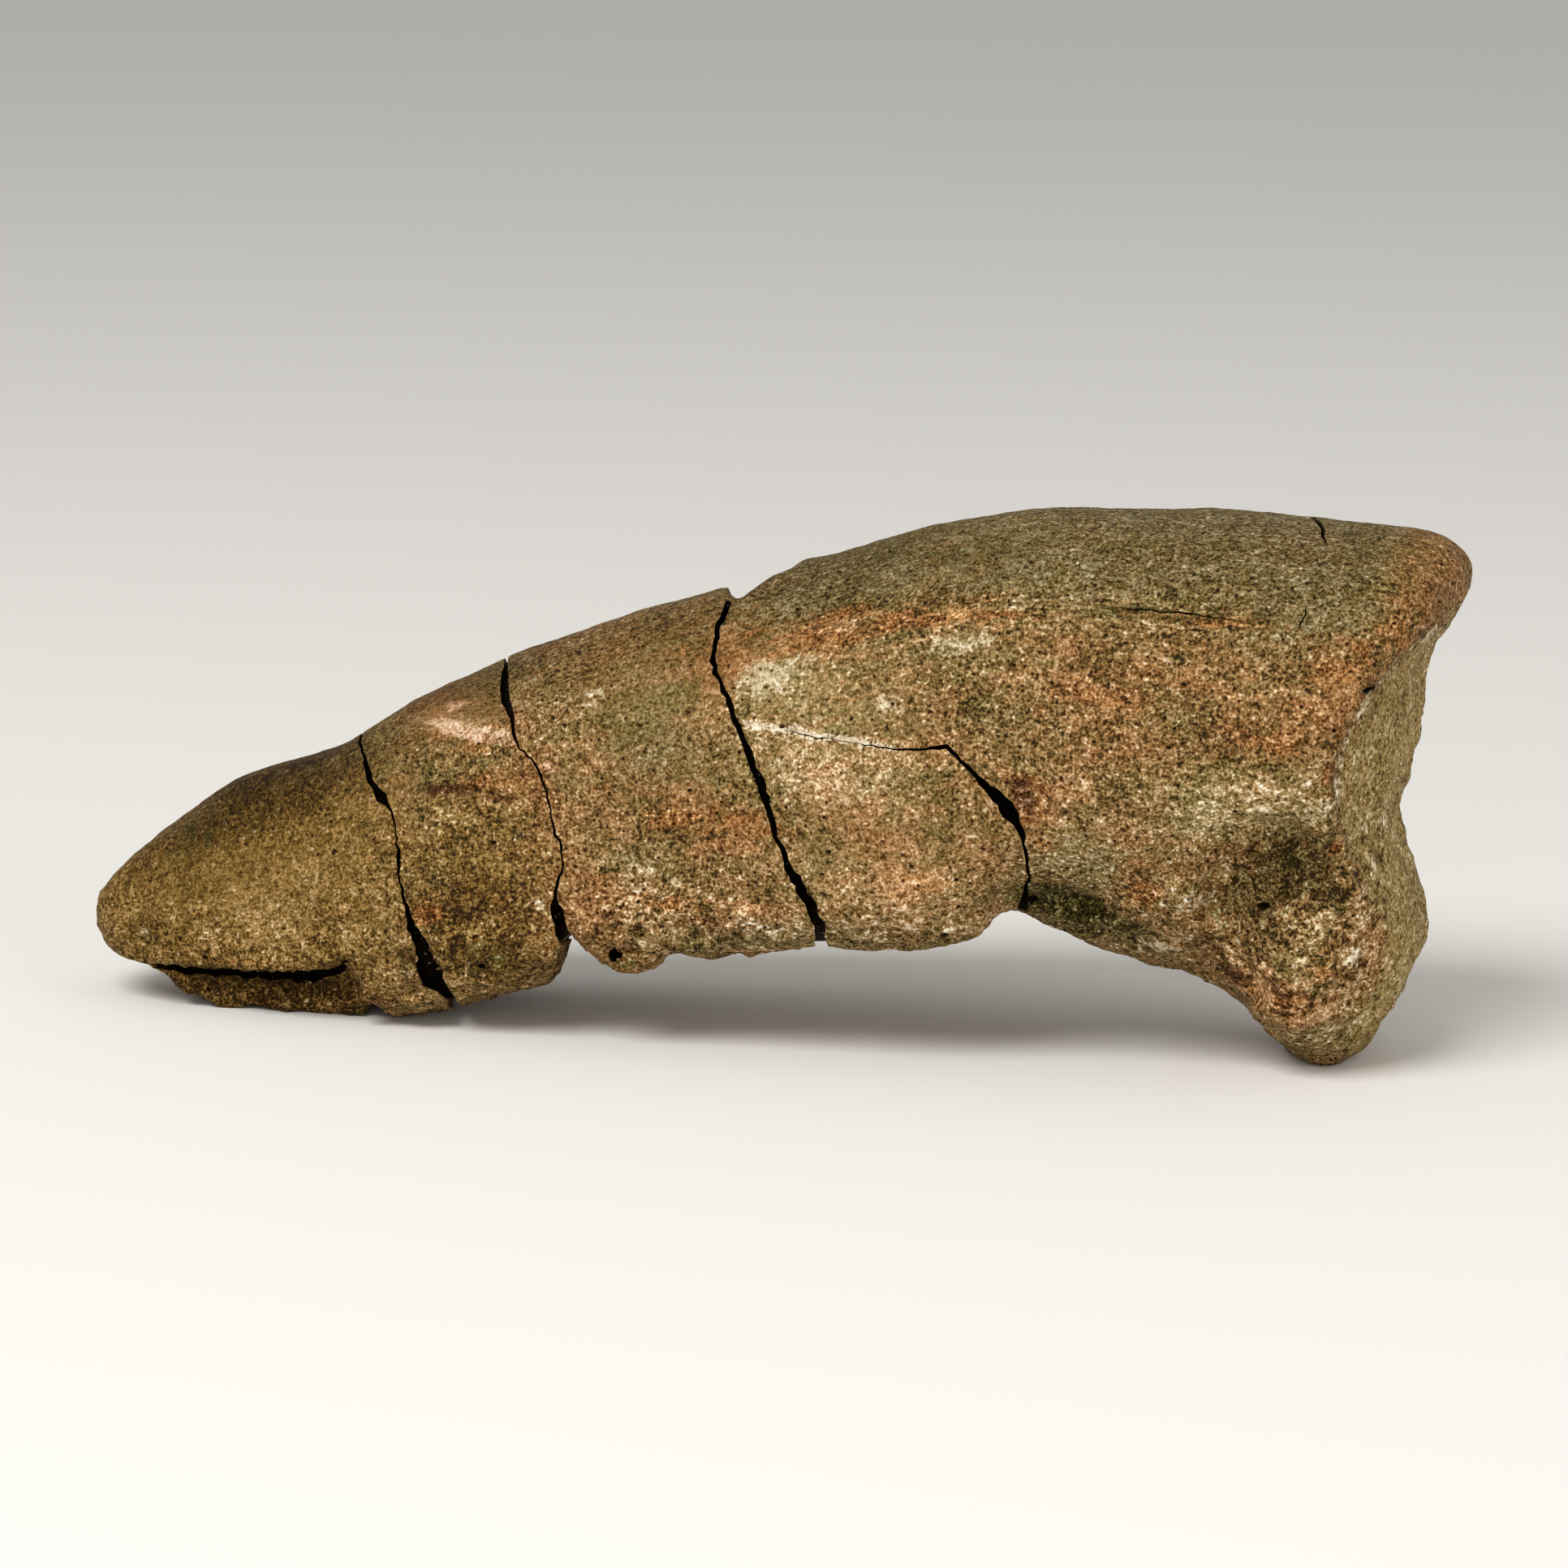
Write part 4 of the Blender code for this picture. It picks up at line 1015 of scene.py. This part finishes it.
    bump = addNode(tree, "Bump", {
        "Strength": boneFinish["bumpStrength"], "Distance": boneFinish["bumpHeight"] * mm,
        "Height": seen["relief"],
    })
    low, high, openEnd, smoothEnd = boneFinish["roughness"]
    matt = addNode(tree, "MapRange", {0: seen["grain"], 1: low, 2: high, 3: openEnd, 4: smoothEnd})
    shine = addNode(tree, "Math", {0: seen["glassAndSheen"], 1: glint}, operation="MAXIMUM")
    roughness = addNode(tree, "Math", {0: shine, 1: boneFinish["shine"], 2: matt}, **timesPlus)
    shader = addNode(tree, "BsdfPrincipled", {
        "Base Color": colour, "Roughness": roughness, "Normal": bump, "IOR": boneFinish["refraction"],
        "Specular IOR Level": boneFinish["specular"],
        "Specular Tint": linearColour(boneFinish["specularTint"]),
    })
    addNode(tree, "OutputMaterial", {"Surface": shader})
    return material


bone.data.materials.clear()
bone.data.materials.append(mineralisedBone())
selectOnly(bone)
bpy.ops.object.shade_smooth_by_angle(angle=math.radians(boneFinish["smoothAngle"]))
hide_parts("claw")
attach(bone, "root")
bone.data.calc_loop_triangles()
print("bone finished:", len(bone.data.loop_triangles), "triangles")


# floor and light

studio = {
    "floorSize": 6.0,  # m
    "floorColour": "#eeebe5",
    "floorRoughness": 0.9,
    "worldColour": "#f2f2f0",
    "worldStrength": 0.52,
    "aim": (0, 0, 0.01),  # m, what the lights point at
    # each light: its place and its size in m, and its power in W
    "lights": {
        "keyLight": ((-0.12, -0.36, 0.42), 0.30, 2.4),
        "frontFill": ((0.10, -0.60, 0.12), 0.30, 0.55),
        "sideFill": ((0.50, -0.20, 0.15), 0.25, 0.55),
    },
}

bpy.ops.mesh.primitive_plane_add(size=studio["floorSize"], location=(0, 0, 0))
floor = bpy.context.object
floor.name = "paleFloor"
paper = bpy.data.materials.new("matt paper sweep")
paper.use_nodes = True
paperShader = paper.node_tree.nodes["Principled BSDF"]
paperShader.inputs["Base Color"].default_value = linearColour(studio["floorColour"])
paperShader.inputs["Roughness"].default_value = studio["floorRoughness"]
floor.data.materials.append(paper)

for name, (place, size, power) in studio["lights"].items():
    lightData = bpy.data.lights.new(name, "AREA")
    lightData.shape, lightData.size, lightData.energy = "DISK", size, power
    light = newObject(name, lightData)
    light.location = place
    light.rotation_euler = (Vector(studio["aim"]) - Vector(place)).to_track_quat("-Z", "Y").to_euler()
world = bpy.data.worlds.new("studioWorld")
world.use_nodes = True
background = world.node_tree.nodes["Background"]
background.inputs["Color"].default_value = linearColour(studio["worldColour"])
background.inputs["Strength"].default_value = studio["worldStrength"]
bpy.context.scene.world = world
bpy.context.scene.view_settings.view_transform = "Standard"
bpy.context.scene.view_settings.look = "None"
print("floor and light set")
